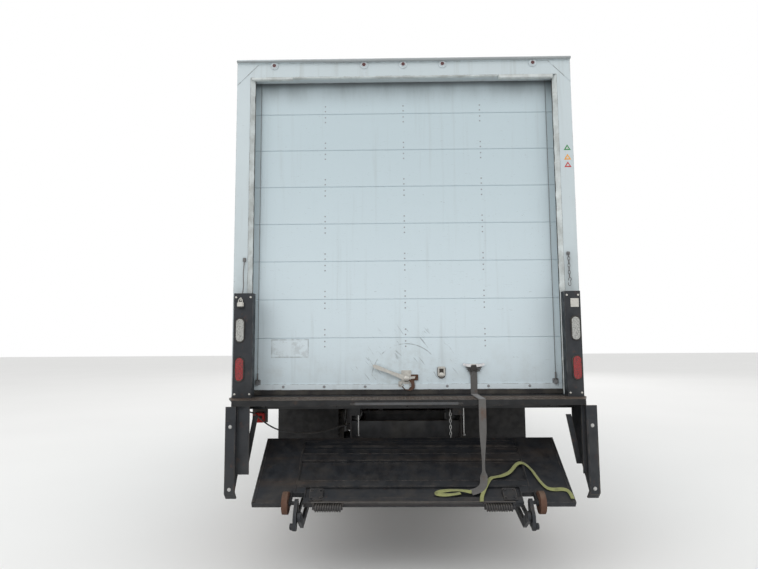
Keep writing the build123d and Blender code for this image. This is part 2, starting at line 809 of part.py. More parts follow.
def fender_form(inset, low):
    """Right fender, its shoulder and front corner rounded, moved in by inset."""
    fender_x = 600 + inset
    with BuildPart() as fender:
        with BuildSketch(beside(fender_x)):
            Polygon(
                (hood_rear_y - inset, low),
                (hood_rear_y - inset, fender_top - inset),
                (hood_rear_y + 700, fender_top - inset),
                (hood_front_y - inset, fender_top - 150 - inset),
                (hood_front_y - inset, low),
                align=None,
            )
        extrude(amount=fender_half - inset - fender_x)
        outline = fender.faces().sort_by(Axis.X)[-1].edges()
        shoulder = outline.filter_by(lambda edge: edge.center().Z > fender_top - 160 - inset)
        front = outline.sort_by(Axis.Y)[-1:]
        fillet(shoulder + front, fender_round - inset)
    return fender.part


def hood_form(inset, low):
    """Closed form of hood and fenders, moved in by inset, down to height low."""
    sections = (
        (hood_rear_y - inset * 2, hood_rear_half, hood_rear_top, 190),
        (hood_rear_y + 760, hood_rear_half - 60, hood_rear_top - 120, 190),
        (hood_front_y - inset, hood_front_half, hood_front_top, 150),
    )
    with BuildPart() as form:
        for y, half, top, corner in sections:
            with BuildSketch(across(y)) as section:
                Polygon(
                    (inset - half, low), (half - inset, low), (half - inset, top - inset), (inset - half, top - inset),
                    align=None,
                )
                fillet(section.vertices().group_by(Axis.Z)[-1], corner - inset)
        loft(ruled=True)
        add(fender_form(inset, low))
        add(mirror(fender_form(inset, low), about=Plane.YZ))
        for side in (-1, 1):
            with BuildSketch(beside(side * (band_inner - 2 * inset))):
                Polygon(
                    (band_rear_y + inset, low),
                    (band_rear_y + inset, fender_top - 120 - inset),
                    (band_rear_y + 130 + inset / 2, fender_top - inset),
                    (hood_rear_y + 30, fender_top - inset),
                    (hood_rear_y + 30, low),
                    align=None,
                )
            extrude(amount=side * (fender_half - band_inner + inset))
    return form.part


lamp_x = (720.0, 1085.0)
lamp_z = (900.0, 1060.0)
lamp_depth = 110.0
grille_half = 430.0
grille_z = (905.0, 1325.0)
hood_outer = hood_form(0, hood_bottom)

with BuildPart() as hood:
    add(hood_outer)
    add(hood_form(hood_wall, hood_bottom - 60), mode=Mode.SUBTRACT)
    for side in (-1, 1):
        bar((side * fender_half, side * 560), front_axle_y, axle_z, arch_radius, mode=Mode.SUBTRACT)
        with BuildSketch(across(hood_front_y - lamp_depth)):
            with Locations((side * sum(lamp_x) / 2, sum(lamp_z) / 2)):
                RectangleRounded(lamp_x[1] - lamp_x[0], lamp_z[1] - lamp_z[0], 40)
        extrude(amount=-lamp_depth * 2, mode=Mode.SUBTRACT)
    with BuildSketch(across(hood_front_y - 60)):
        with Locations((0, sum(grille_z) / 2)):
            RectangleRounded(2 * grille_half, grille_z[1] - grille_z[0], 50)
    extrude(amount=-120, mode=Mode.SUBTRACT)
    for side in (-1, 1):
        lug_x = (side * (rail_outer / 2 + 10), side * (rail_outer / 2 + 28))
        bar(lug_x, *hood_pivot, hood_lug)
        block(lug_x, (hood_pivot[0], hood_front_y - 5), (hood_bottom + 6, hood_bottom + 95))
        bar(lug_x, *hood_pivot, hood_pin + bore_gap, mode=Mode.SUBTRACT)
save(hood.part, "hood")

with BuildPart() as headlamps:
    for side in (-1, 1):
        with BuildSketch(across(hood_front_y - lamp_depth)):
            with Locations((side * sum(lamp_x) / 2, sum(lamp_z) / 2)):
                RectangleRounded(
                    lamp_x[1] - lamp_x[0] - 2 * seat_gap, lamp_z[1] - lamp_z[0] - 2 * seat_gap, 40 - seat_gap
                )
        extrude(amount=-lamp_depth)
save(headlamps.part, "headlamps")

grille_slats = 7
with BuildPart() as grille:
    with BuildSketch(across(hood_front_y - hood_wall - 10)):
        with Locations((0, sum(grille_z) / 2)):
            RectangleRounded(
                2 * (grille_half - seat_gap), grille_z[1] - grille_z[0] - 2 * seat_gap, 50 - seat_gap
            )
            RectangleRounded(2 * grille_half - 50, grille_z[1] - grille_z[0] - 50, 30, mode=Mode.SUBTRACT)
            with GridLocations(0, (grille_z[1] - grille_z[0]) / (grille_slats + 1), 1, grille_slats):
                Rectangle(2 * grille_half - 20, 20)
            Rectangle(24, grille_z[1] - grille_z[0] - 20)
    extrude(amount=-hood_wall - 18)
save(grille.part, "grille")

# Mirrors: two arms off the door and a tall head
mirror_x = 1230.0
mirror_y = cab_back_y + door_front_from_back - 160
with BuildPart() as door_mirror:
    with BuildSketch(across(mirror_y - 20)):
        with Locations((mirror_x, 2120)):
            RectangleRounded(210, 440, 60)
    extrude(amount=-70)
    for z in (1690, 2300):
        reach = cab_half - tan(radians(lean_angle)) * max(0, z - 13 - belt_z) + seat_gap
        bar((reach, mirror_x), mirror_y + 15, z, 13)
    with Locations((mirror_x, mirror_y + 15, 1995)):
        Cylinder(13, 636)
save_pair(door_mirror.part, "mirror")

# Cab interior seen through the glass
wheel_x = -480.0
dash_front = cowl_y - cab_wall - seat_gap
column = Plane(origin=(wheel_x, cowl_y - 400, 1790), x_dir=(1, 0, 0), z_dir=(0, -0.75, 1))
with BuildPart() as dashboard:
    with BuildSketch(beside(-cab_half + cab_wall + 12)):
        with BuildLine():
            Polyline(
                (dash_front, 1500),
                (dash_front, 1700),
                (cowl_y - 90, 1730),
                (cowl_y - 330, 1700),
            )
            ThreePointArc((cowl_y - 330, 1700), (cowl_y - 370, 1600), (cowl_y - 300, 1500))
            Line((cowl_y - 300, 1500), (dash_front, 1500))
        make_face()
    extrude(amount=2 * (cab_half - cab_wall - 12))
    with Locations(column):
        Cylinder(28 + seat_gap, 400, mode=Mode.SUBTRACT)
save(dashboard.part, "dashboard")

with BuildPart() as steering_wheel:
    with Locations(column):
        Torus(215, 16)
        Cylinder(45, 40)
    for turn in (90, 210, 330):
        with Locations(column * Rotation(0, 0, turn)):
            with Locations((110, 0, 0)):
                Box(210, 26, 12)
    with Locations(column):
        Cylinder(28, 180, align=(Align.CENTER, Align.CENTER, Align.MAX))
save(steering_wheel.part, "steering_wheel")

seat_rear_y = cab_back_y + 110
with BuildPart() as seats:
    for x, width in ((-480, 520), (430, 760)):
        with BuildSketch(beside(x - width / 2)) as profile:
            Polygon(
                (seat_rear_y + 130, cab_floor_top),
                (seat_rear_y + 130, 1500),
                (seat_rear_y, 2200),
                (seat_rear_y + 120, 2220),
                (seat_rear_y + 270, 1590),
                (seat_rear_y + 640, 1600),
                (seat_rear_y + 660, 1500),
                (seat_rear_y + 560, 1440),
                (seat_rear_y + 520, cab_floor_top),
                align=None,
            )
        extrude(amount=width)
save(seats.part, "seats")


# Load body: floor with cross bearers and long sills over the rails
bearer_pitch = 406.0
bearer_flange = 60.0
bearer_web = 8.0
lining_half = body_half - body_wall
wall_bottom = bearer_bottom + 10
body_rear_y = rear_y + frame_depth
roof_bottom = roof_top - roof_thick

with BuildPart() as body_floor:
    with BuildSketch(level(floor_bottom)):
        Polygon(
            (-lining_half, body_rear_y),
            (lining_half, body_rear_y),
            (lining_half, body_front_y - front_corner_radius),
            (lining_half - front_corner_radius + nose_wall, body_front_y - nose_wall),
            (front_corner_radius - nose_wall - lining_half, body_front_y - nose_wall),
            (-lining_half, body_front_y - front_corner_radius),
            align=None,
        )
    extrude(amount=floor_thick)
    for side in (-1, 1):
        sill_x = (side * (rail_outer / 2 - rail_flange), side * rail_outer / 2)
        block(sill_x, (body_rear_y, body_front_y - nose_wall), (rail_top, bearer_bottom))
    bearers = int((body_length - frame_depth - nose_wall - bearer_flange) // bearer_pitch) + 1
    for count in range(bearers):
        y = body_rear_y + bearer_flange / 2 + count * bearer_pitch
        high = floor_bottom - bearer_bottom
        with BuildSketch(beside(-lining_half)):
            with Locations((y, bearer_bottom + high / 2)):
                Rectangle(bearer_flange, high)
                for end in (-1, 1):
                    with Locations((end * (bearer_flange + bearer_web) / 4, 0)):
                        Rectangle((bearer_flange - bearer_web) / 2, high - 2 * bearer_web, mode=Mode.SUBTRACT)
        extrude(amount=2 * lining_half)
save(body_floor.part, "body_floor")

# Side walls with a bottom rail and a top rail standing proud inside
with BuildPart() as body_sides:
    for side in (-1, 1):
        with BuildSketch(across(body_rear_y)):
            Polygon(
                (side * body_half, wall_bottom),
                (side * body_half, roof_bottom),
                (side * (lining_half - 20), roof_bottom),
                (side * (lining_half - 20), roof_bottom - 70),
                (side * lining_half, roof_bottom - 110),
                (side * lining_half, wall_bottom),
                align=None,
            )
        extrude(amount=body_rear_y - body_front_y + front_corner_radius + nose_wall)
save(body_sides.part, "body_sides")

with BuildPart() as body_front:
    with BuildSketch(level(wall_bottom)) as plan:
        Polygon(
            (-body_half, body_front_y - front_corner_radius - nose_wall),
            (body_half, body_front_y - front_corner_radius - nose_wall),
            (body_half, body_front_y),
            (-body_half, body_front_y),
            align=None,
        )
        fillet(plan.vertices().group_by(Axis.Y)[-1], front_corner_radius)
        Polygon(
            (-lining_half, body_front_y - front_corner_radius - nose_wall),
            (lining_half, body_front_y - front_corner_radius - nose_wall),
            (lining_half, body_front_y - front_corner_radius),
            (lining_half - front_corner_radius + nose_wall, body_front_y - nose_wall),
            (front_corner_radius - nose_wall - lining_half, body_front_y - nose_wall),
            (-lining_half, body_front_y - front_corner_radius),
            align=None,
            mode=Mode.SUBTRACT,
        )
    extrude(amount=roof_bottom - wall_bottom)
save(body_front.part, "body_front")

with BuildPart() as body_roof:
    with BuildSketch(level(roof_bottom)) as plan:
        Polygon(
            (-body_half, body_rear_y),
            (body_half, body_rear_y),
            (body_half, body_front_y),
            (-body_half, body_front_y),
            align=None,
        )
        fillet(plan.vertices().group_by(Axis.Y)[-1], front_corner_radius)
    extrude(amount=roof_thick)
    top_edges = body_roof.faces().sort_by(Axis.Z)[-1].edges().sort_by(Axis.Y)[1:]
    fillet(top_edges, roof_thick * 0.75)
save(body_roof.part, "body_roof")

# Rear frame: posts, header, sill beam, corner plates and the drip rail
sill_beam_depth = 90.0
with BuildPart() as rear_frame:
    for side in (-1, 1):
        post_x = (side * (body_half - post_width), side * body_half)
        block(post_x, (rear_y, body_rear_y), (wall_bottom, roof_top))
    half = body_half - post_width
    block((-half, half), (rear_y, rear_y + header_depth - seat_gap), (header_bottom, roof_top))
    block((-half, half), (rear_y + header_depth - seat_gap, body_rear_y), (roof_top - header_rail, roof_top))
    block((-half, half), (rear_y, rear_y + sill_beam_depth), (sill_beam_bottom, floor_top - seat_gap))
    block((-half, half), (rear_y + sill_beam_depth, body_rear_y), (floor_top - 8, floor_top))
    with BuildSketch(across(rear_y - 3)):
        for side in (-1, 1):
            Polygon(
                (side * body_half, roof_top),
                (side * (body_half - gusset_leg), roof_top),
                (side * body_half, roof_top - gusset_leg),
                align=None,
            )
    extrude(amount=-3)
    block((-body_half, body_half), (rear_y - 16, rear_y), (roof_top - 24, roof_top))
save(rear_frame.part, "rear_frame")

# Roll-up door: hinged panels up to the header, the lowest one with its retainer strip
panel_edge = 4.0
door_y = rear_y + door_recess
with BuildPart() as door_panels:
    low = door_bottom
    high = door_bottom + bottom_panel
    while low < door_top:
        with BuildSketch(beside(-door_half)):
            Polygon(
                (door_y + panel_edge, low + panel_gap),
                (door_y, low + panel_gap + panel_edge),
                (door_y, high - panel_edge),
                (door_y + panel_edge, high),
                (door_y + door_thick, high),
                (door_y + door_thick, low + panel_gap),
                align=None,
            )
        extrude(amount=2 * door_half)
        low = high
        high = min(low + panel_pitch, panel_limit)
    block((-door_half, door_half), (door_y - 6, door_y + door_thick), (floor_top + seat_gap, door_bottom + 2))
save(door_panels.part, "door_panels")

# Door latch: back plate, lever lying up to the left and the hook beside it
lever_z = 1320.0
lever_tip = (-241.0, 1416.0)
latch_face = door_y - seat_gap
with BuildPart() as door_latch:
    with BuildSketch(across(latch_face)):
        with Locations((3, lever_z)):
            RectangleRounded(70, 120, 12)
        with Locations((64, lever_z + 8)):
            RectangleRounded(56, 44, 8)
    extrude(amount=6)
    with BuildSketch(across(latch_face - 6)):
        with Locations((3, lever_z)):
            Circle(22)
    extrude(amount=14)
    with BuildSketch(across(latch_face - 20)):
        with Locations((3, lever_z), lever_tip):
            Circle(11)
        make_hull()
    extrude(amount=8)
    with BuildSketch(across(latch_face)):
        with Locations((strap_x, strap_top + 12)):
            RectangleRounded(strap_wide + 2 * strap_ear, 30, 6)
    extrude(amount=9)
save(door_latch.part, "door_latch")

# Rear sill extension plate with its lip and ribs
plate_top = floor_top - 3
plate_bottom = plate_top - plate_thick
plate_rear_y = rear_y - plate_reach
with BuildPart() as extension_plate:
    with BuildSketch(level(plate_bottom)):
        Polygon(
            (-body_half, rear_y - seat_gap),
            (body_half, rear_y - seat_gap),
            (body_half, rear_y - 60),
            (body_half - 70, plate_rear_y),
            (70 - body_half, plate_rear_y),
            (-body_half, rear_y - 60),
            align=None,
        )
    extrude(amount=plate_thick)
    block((70 - body_half, body_half - 70), (plate_rear_y, plate_rear_y + 8), (plate_bottom - plate_lip + 12, plate_bottom))
    for x in (-1040, -520, 0, 520, 1040):
        with BuildSketch(beside(x - 5)):
            Polygon(
                (rear_y - seat_gap, plate_bottom),
                (plate_rear_y + 8, plate_bottom),
                (plate_rear_y + 8, plate_bottom - 20),
                (rear_y - seat_gap, sill_beam_bottom + 12),
                align=None,
            )
        extrude(amount=10)
save(extension_plate.part, "extension_plate")

# Lamp boxes standing on the sill in front of the posts, open behind, with oval holes
lamp_box_wall = 5.0
oval_places = [
    (side * lamp_middle, z)
    for side, box_in, box_out, lamp_middle in lamp_box_rows
    for z in (stop_lamp_z, backup_lamp_z)
]
with BuildPart() as lamp_boxes:
    for side, box_in, box_out, lamp_middle in lamp_box_rows:
        x = (side * box_in, side * box_out)
        inner = (side * (box_in + lamp_box_wall), side * (box_out - lamp_box_wall))
        block(x, (rear_y - lamp_box_reach, rear_y - 3 - seat_gap), (plate_top + seat_gap, lamp_box_top))
        block(
            inner,
            (rear_y - lamp_box_reach + lamp_box_wall, rear_y),
            (plate_top + seat_gap + lamp_box_wall, lamp_box_top - lamp_box_wall),
            mode=Mode.SUBTRACT,
        )
    with BuildSketch(across(rear_y - lamp_box_reach)):
        with Locations(*oval_places):
            SlotOverall(lamp_long, lamp_high, rotation=90)
    extrude(amount=-lamp_box_wall, mode=Mode.SUBTRACT)
save(lamp_boxes.part, "lamp_boxes")

# Marker lamps in the header, three together and one at each side, and the oval lamps
lamp_row = (-1005.0, -305.0, 0.0, 305.0, 1005.0)
lamp_row_z = roof_top - 47
with BuildPart() as rear_lamps:
    with BuildSketch(across(rear_y - 14 - seat_gap)):
        with Locations(*[(x, lamp_row_z) for x in lamp_row]):
            Circle(20)
    extrude(amount=-14)
    with BuildSketch(across(rear_y - lamp_box_reach - 6)):
        with Locations(*oval_places):
            SlotOverall(lamp_long - 2 * seat_gap, lamp_high - 2 * seat_gap, rotation=90)
    extrude(amount=-28)
save(rear_lamps.part, "rear_lamps")

# Bumper posts under the sill ends: inner web, outer and inner edge of the face
dock_rows = ((-1, 1106.0, 1192.0, 1264.0), (1, 1200.0, 1222.0, 1296.0))
dock_top = plate_bottom
with BuildPart() as dock_bumpers:
    for side, web, face_in, face_out in dock_rows:
        back = rear_y - dock_post_reach
        with BuildSketch(beside(side * face_in)):
            Polygon(
                (back, dock_top - 30),
                (back + 14, dock_top - 30),
                (back + 14, dock_post_bottom - 20),
                (back + 60, dock_post_bottom - 70),
                (back + 46, dock_post_bottom - 74),
                (back, dock_post_bottom - 30),
                align=None,
            )
        extrude(amount=side * (face_out - face_in))
        with BuildSketch(beside(side * face_in)):
            Polygon(
                (back + 8, dock_top - 30),
                (back + 22, dock_top - 30),
                (back + 22, dock_top - seat_gap),
                (rear_y - seat_gap, dock_top - seat_gap),
                (rear_y - seat_gap, wall_bottom - seat_gap),
                (rear_y + 60, wall_bottom - seat_gap),
                (rear_y + 60, dock_top - 240),
                (back + 70, dock_post_bottom + 60),
                (back + 8, dock_post_bottom - 20),
                align=None,
            )
        extrude(amount=side * 10)
        block((side * web, side * face_in), (back + 40, back + 50), (dock_post_bottom + 90, dock_top - seat_gap))
save(dock_bumpers.part, "dock_bumpers")

# Mud flaps behind the rear wheels, each on a hanger from the rail
with BuildPart() as mud_flaps:
    flap_y = rear_y + 1720
    for side in (-1, 1):
        block((side * 650, side * (body_half - 25)), (flap_y, flap_y + 8), (330, 1010))
        block((side * (rail_outer / 2), side * (body_half - 25)), (flap_y - 25, flap_y), (990, 1040))
save(mud_flaps.part, "mud_flaps")

# Lift gate
pin_large = 15.0
pin_small = 12.0
pivot_a = (rear_y + arm_pivot_y, arm_pivot_z)
pin_b = (rear_y + arm_pin_y, arm_pin_z)
pivot_c = (pivot_a[0] + link_offset_y, pivot_a[1] + link_offset_z)
pin_d = (pin_b[0] + link_offset_y, pin_b[1] + link_offset_z)
hinge_p = (rear_y + hinge_y, hinge_z)
plate_in = shackle_x - shackle_thick / 2
plate_out = shackle_x + shackle_thick / 2
arm_out = plate_in - side_gap
arm_in = arm_out - lift_arm_thick
link_in = plate_out + side_gap
link_out = link_in + link_thick
lug_in = link_out + side_gap
lug_out = lug_in + 12
roller_in = lug_out + running_gap
roller_out = roller_in + roller_thick
tube_size = 90.0
tube_y = pivot_a[0] + 20
tube_bottom = rail_bottom - tube_size
# The arms drop between two bends, so that they clear the folded platform all the way down
bend_near = 170.0
bend_far = 100.0
arm_drop = 100.0
link_drop = 62.0
cross_from_pivot = 300.0
cross_radius = 30.0


def arm_point(along, drop):
    """Y and Z of a point of the stowed arm: distance from its pivot, and drop below its pins' line."""
    return (
        pivot_a[0] - along * cos(arm_angle) + drop * sin(arm_angle),
        pivot_a[1] - along * sin(arm_angle) - drop * cos(arm_angle),
    )


def link_point(along, drop):
    """The same for the parallel arm."""
    y, z = arm_point(along, drop)
    return (y + link_offset_y, z + link_offset_z)


cross_point = arm_point(cross_from_pivot, arm_drop)
eye_point = arm_point(235, 155)
ram_pivot = (pivot_a[0] + 300, pivot_a[1] + 22)
ram_x = 250.0
ram_radius = 38.0
rod_radius = 19.0
eye_radius = 26.0
ear_thick = 12.0
ram_eye_thick = 34.0


def gate_x(near, far, side):
    """Stations on one side of the gate's own centre line."""
    return (gate_shift + side * near, gate_shift + side * far)


def hull_plate(circles, near, far, side):
    """Flat plate round circles of given y, z and radius, between two stations."""
    x = gate_x(near, far, side)
    with BuildSketch(beside(x[0])) as outline:
        for y, z, radius in circles:
            with Locations((y, z)):
                Circle(radius)
        make_hull()
    extrude(outline.sketch, amount=x[1] - x[0])


# Fixed mount: cross tube under the rails, side plates for the arms, ears for the rams
with BuildPart() as gate_mount:
    block(gate_x(-plate_out, plate_out, 1), (tube_y - tube_size / 2, tube_y + tube_size / 2), (tube_bottom, rail_bottom))
    for side in (-1, 1):
        block((side * rail_outer / 2, side * (rail_outer / 2 + 12)), (tube_y - 75, tube_y + 75), (tube_bottom, rail_top - 40))
        top = (tube_y, tube_bottom + 20, 40)
        hull_plate((top, (*pivot_a, 40), (*pivot_c, 28)), plate_in, plate_out, side)
        bar(gate_x(arm_in - running_gap, plate_out, side), *pivot_a, pin_large)
        bar(gate_x(plate_in, link_out + running_gap, side), *pivot_c, pin_small)
        for ear in (-1, 1):
            near = ram_x + ear * (ram_eye_thick / 2 + running_gap)
            corner = (ram_pivot[0] - 10, tube_bottom + 25, 25)
            hull_plate(((tube_y, tube_bottom + 25, 25), corner), near, near + ear * ear_thick, side)
            hull_plate((corner, (*ram_pivot, eye_radius)), near, near + ear * ear_thick, side)
        bar(gate_x(ram_x - ram_eye_thick, ram_x + ram_eye_thick, side), *ram_pivot, pin_small)
save(gate_mount.part, "gate_mount")

# Lift arms joined by a cross tube that carries the rams' ears
with BuildPart() as lift_arms:
    for side in (-1, 1):
        knees = ((*arm_point(bend_near, arm_drop), 26), (*arm_point(arm_length - bend_far, arm_drop), 26))
        hull_plate(((*pivot_a, 32), knees[0]), arm_in, arm_out, side)
        hull_plate(knees, arm_in, arm_out, side)
        hull_plate((knees[1], (*pin_b, 32)), arm_in, arm_out, side)
        for ear in (-1, 1):
            near = ram_x + ear * (ram_eye_thick / 2 + running_gap)
            hull_plate(((*cross_point, cross_radius), (*eye_point, 24)), near, near + ear * ear_thick, side)
    bar(gate_x(-arm_in - 5, arm_in + 5, 1), *cross_point, cross_radius)
    for side in (-1, 1):
        for point in (pivot_a, pin_b):
            bar(gate_x(arm_in - 1, arm_out + 1, side), *point, pin_large + bore_gap, mode=Mode.SUBTRACT)
save(lift_arms.part, "lift_arms")

with BuildPart() as parallel_arms:
    for side in (-1, 1):
        knees = ((*link_point(bend_near, link_drop), 18), (*link_point(arm_length - bend_far, link_drop), 18))
        hull_plate(((*pivot_c, 20), knees[0]), link_in, link_out, side)
        hull_plate(knees, link_in, link_out, side)
        hull_plate((knees[1], (*pin_d, 20)), link_in, link_out, side)
        for point in (pivot_c, pin_d):
            bar(gate_x(link_in - 1, link_out + 1, side), *point, pin_small + bore_gap, mode=Mode.SUBTRACT)
save(parallel_arms.part, "parallel_arms")

# Shackles: tapered plates with the three pins, an inner rib on each
with BuildPart() as shackles:
    for side in (-1, 1):
        hull_plate(((*hinge_p, 25), (*pin_b, 40), (*pin_d, shackle_lug)), plate_in, plate_out, side)
        bar(gate_x(arm_in - running_gap, plate_in, side), *pin_b, pin_large)
        bar(gate_x(plate_out, link_out + running_gap, side), *pin_d, pin_small)
        bar(gate_x(plate_out, roller_out + running_gap, side), *hinge_p, pin_small)
        hull_plate(((*hinge_p, 16), (hinge_p[0] - 6, pin_b[1] + 20, 14)), plate_in - 4, plate_in, side)
save(shackles.part, "shackles")

with BuildPart() as gate_rollers:
    for side in (-1, 1):
        bar(gate_x(roller_in, roller_out, side), *hinge_p, roller_radius)
        bar(gate_x(roller_in - 1, roller_out + 1, side), *hinge_p, pin_small + bore_gap, mode=Mode.SUBTRACT)
save(gate_rollers.part, "gate_rollers")

# Folded platform: its underside faces up and to the rear
fold = radians(fold_angle)
fold_plane = Plane(origin=(gate_shift, *hinge_p), x_dir=(1, 0, 0), z_dir=(0, -sin(fold), cos(fold)))
heel = -4.0


def fold_point(along, out):
    """Y and Z of a point of the folded platform, from its hinge pin."""
    return (
        hinge_p[0] + along * cos(fold) - out * sin(fold),
        hinge_p[1] + along * sin(fold) + out * cos(fold),
    )


notch_deep = 80.0
centre_half = 780.0
channel_deep = 14.0
spring_in = 478.0
spring_out = 648.0
spring_radius = 20.0
# Channels across the centre: start and end along the platform
channels = ((40, 128), (188, 366), (442, 500), (522, 568))
with BuildPart() as gate_platform:
    with BuildSketch(fold_plane.offset(platform_face)):
        with Locations((0, heel + platform_long / 2)):
            Rectangle(2 * platform_half, platform_long)
        for side in (-1, 1):
            with Locations((side * (arm_in + roller_out) / 2, heel + (notch_deep - heel) / 2)):
                Rectangle(roller_out - arm_in + 4 * running_gap, notch_deep - heel, mode=Mode.SUBTRACT)
    extrude(amount=-platform_thick)
    with BuildSketch(fold_plane.offset(platform_face)):
        for start, end in channels:
            wide = centre_half if start > notch_deep + 10 else arm_in - 4 * running_gap
            with Locations((0, (start + end) / 2)):
                Rectangle(2 * wide, end - start)
    extrude(amount=-channel_deep, mode=Mode.SUBTRACT)
    for side in (-1, 1):
        hull_plate(
            ((*hinge_p, 22), (*fold_point(notch_deep + 30, platform_face - platform_thick / 2), 18)),
            lug_in,
            lug_out,
            side,
        )
        bar(gate_x(lug_in - 1, lug_out + 1, side), *hinge_p, pin_small + bore_gap, mode=Mode.SUBTRACT)
        # Torsion spring beside each shackle, on a rod held by two lugs of the platform
        spring_y, spring_z = fold_point(-30, -12)
        bar(gate_x(spring_in - 14, spring_out + 14, side), spring_y, spring_z, 7)
        bar(gate_x(spring_in, spring_out, side), spring_y, spring_z, spring_radius)
        for near in (spring_in - 14, spring_out + 4):
            hull_plate(((spring_y, spring_z, 14), (*fold_point(20, -12), 14)), near, near + 10, side)
save(gate_platform.part, "gate_platform")

# Flap folded flat against the deck, hinged at the platform's far edge
with BuildPart() as gate_flap:
    deck_face = platform_face - platform_thick - seat_gap
    with BuildSketch(fold_plane.offset(deck_face)):
        with Locations((0, (flap_start + platform_long + heel) / 2)):
            Rectangle(2 * platform_half - 30, platform_long + heel - flap_start)
    extrude(amount=-flap_thick)
save(gate_flap.part, "gate_flap")

# Lift rams: barrel on the mount, rod to the arms' cross tube
ram_line = Vector(0, eye_point[0] - ram_pivot[0], eye_point[1] - ram_pivot[1])
ram_long = ram_line.length
barrel_from = 90.0
barrel_to = ram_long - 130
with BuildPart() as ram_barrels:
    for side in (-1, 1):
        x = gate_shift + side * ram_x
        ram_plane = Plane(origin=(x, *ram_pivot), x_dir=(1, 0, 0), z_dir=ram_line)
        with BuildSketch(ram_plane.offset(barrel_from)):
            Circle(ram_radius)
        extrude(amount=barrel_to - barrel_from)
        bar((x - ram_eye_thick / 2, x + ram_eye_thick / 2), *ram_pivot, eye_radius)
        with BuildSketch(ram_plane):
            Rectangle(ram_eye_thick, 30)
        extrude(amount=barrel_from)
        with BuildSketch(ram_plane.offset(180)):
            Circle(rod_radius + bore_gap)
        extrude(amount=ram_long, mode=Mode.SUBTRACT)
        bar((x - ram_eye_thick, x + ram_eye_thick), *ram_pivot, pin_small + bore_gap, mode=Mode.SUBTRACT)
save(ram_barrels.part, "ram_barrels")

with BuildPart() as ram_rods:
    for side in (-1, 1):
        x = gate_shift + side * ram_x
        ram_plane = Plane(origin=(x, *ram_pivot), x_dir=(1, 0, 0), z_dir=ram_line)
        with BuildSketch(ram_plane.offset(260)):
            Circle(rod_radius)
        extrude(amount=ram_long - 260)
        bar((x - ram_eye_thick / 2, x + ram_eye_thick / 2), *eye_point, 24)
save(ram_rods.part, "ram_rods")

# Pull strap: from its bracket on the door, over the sill plate and down to the platform
strap_hang = rear_y - plate_reach - 12
strap_face = latch_face - 9 - seat_gap - strap_thick / 2
sill_run = floor_top + seat_gap + strap_thick / 2
with BuildPart() as pull_strap:
    with BuildSketch(beside(strap_x - strap_wide / 2)):
        with BuildLine() as route:
            FilletPolyline(
                (strap_face, strap_top),
                (strap_face, sill_run),
                (strap_hang, sill_run),
                (strap_hang, 680),
                radius=5,
            )
        trace(line_width=strap_thick)
    extrude(amount=strap_wide)
save(pull_strap.part, "pull_strap")
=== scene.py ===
"""Looks of the box truck: materials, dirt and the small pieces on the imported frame.

Metres, in the frame of the CAD model: +Y forward, +X the truck's right, Z up from the ground.
"""

import random
from math import cos, pi, radians, sin, tan

import bmesh
import bpy
from mathutils import Matrix, Vector


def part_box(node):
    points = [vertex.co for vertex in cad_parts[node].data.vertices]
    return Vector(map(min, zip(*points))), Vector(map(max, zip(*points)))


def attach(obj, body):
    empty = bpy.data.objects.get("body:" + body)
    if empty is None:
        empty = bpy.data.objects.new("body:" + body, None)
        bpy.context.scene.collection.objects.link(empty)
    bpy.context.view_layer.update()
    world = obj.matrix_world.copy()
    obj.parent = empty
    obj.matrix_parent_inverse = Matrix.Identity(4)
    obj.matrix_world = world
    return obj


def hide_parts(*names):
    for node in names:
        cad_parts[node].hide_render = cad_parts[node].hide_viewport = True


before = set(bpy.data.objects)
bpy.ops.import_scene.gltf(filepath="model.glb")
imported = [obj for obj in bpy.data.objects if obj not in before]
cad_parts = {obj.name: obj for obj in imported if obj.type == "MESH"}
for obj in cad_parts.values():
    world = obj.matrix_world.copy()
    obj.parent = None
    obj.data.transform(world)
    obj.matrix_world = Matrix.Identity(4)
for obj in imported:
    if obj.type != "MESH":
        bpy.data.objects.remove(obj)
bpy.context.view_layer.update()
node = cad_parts

SIDES = ((-1, "left"), (1, "right"))
BACK = Vector((0, -1, 0))
AHEAD = Vector((0, 1, 0))
UP = Vector((0, 0, 1))

# Rear face of the body: most places below are measured from it
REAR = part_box("extension_plate")[1].y + 0.0003
BODY_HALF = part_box("body_sides")[1].x
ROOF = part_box("body_roof")[1].z
DOOR_FACE = REAR + 0.110
PICTURE_WIDTH, PICTURE_HEIGHT = 758, 569
SENSOR = 36


def make_camera():
    """Camera at the photograph's place: close behind the truck, looking slightly up."""
    yaw, pitch, roll = radians(0.79), radians(5.72), radians(-0.37)
    ahead = Vector((-sin(yaw) * cos(pitch), cos(yaw) * cos(pitch), sin(pitch)))
    level_right = Vector((cos(yaw), sin(yaw), 0))
    level_up = level_right.cross(ahead)
    right = cos(roll) * level_right + sin(roll) * level_up
    up = cos(roll) * level_up - sin(roll) * level_right
    data = bpy.data.cameras.new("camera")
    data.sensor_width = SENSOR
    data.lens = PICTURE_HEIGHT / PICTURE_WIDTH * SENSOR
    data.clip_end = 200
    camera = bpy.data.objects.new("camera", data)
    bpy.context.scene.collection.objects.link(camera)
    turn = Matrix((right, up, -ahead)).transposed().to_4x4()
    camera.matrix_world = Matrix.Translation((-0.14, REAR - 4.251, 1.6)) @ turn
    bpy.context.scene.camera = camera


make_camera()


# Pieces
def place(obj, body, material):
    """Links an object, gives it its material and hands it to its body."""
    bpy.context.scene.collection.objects.link(obj)
    obj.data.materials.append(material)
    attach(obj, body)
    return obj


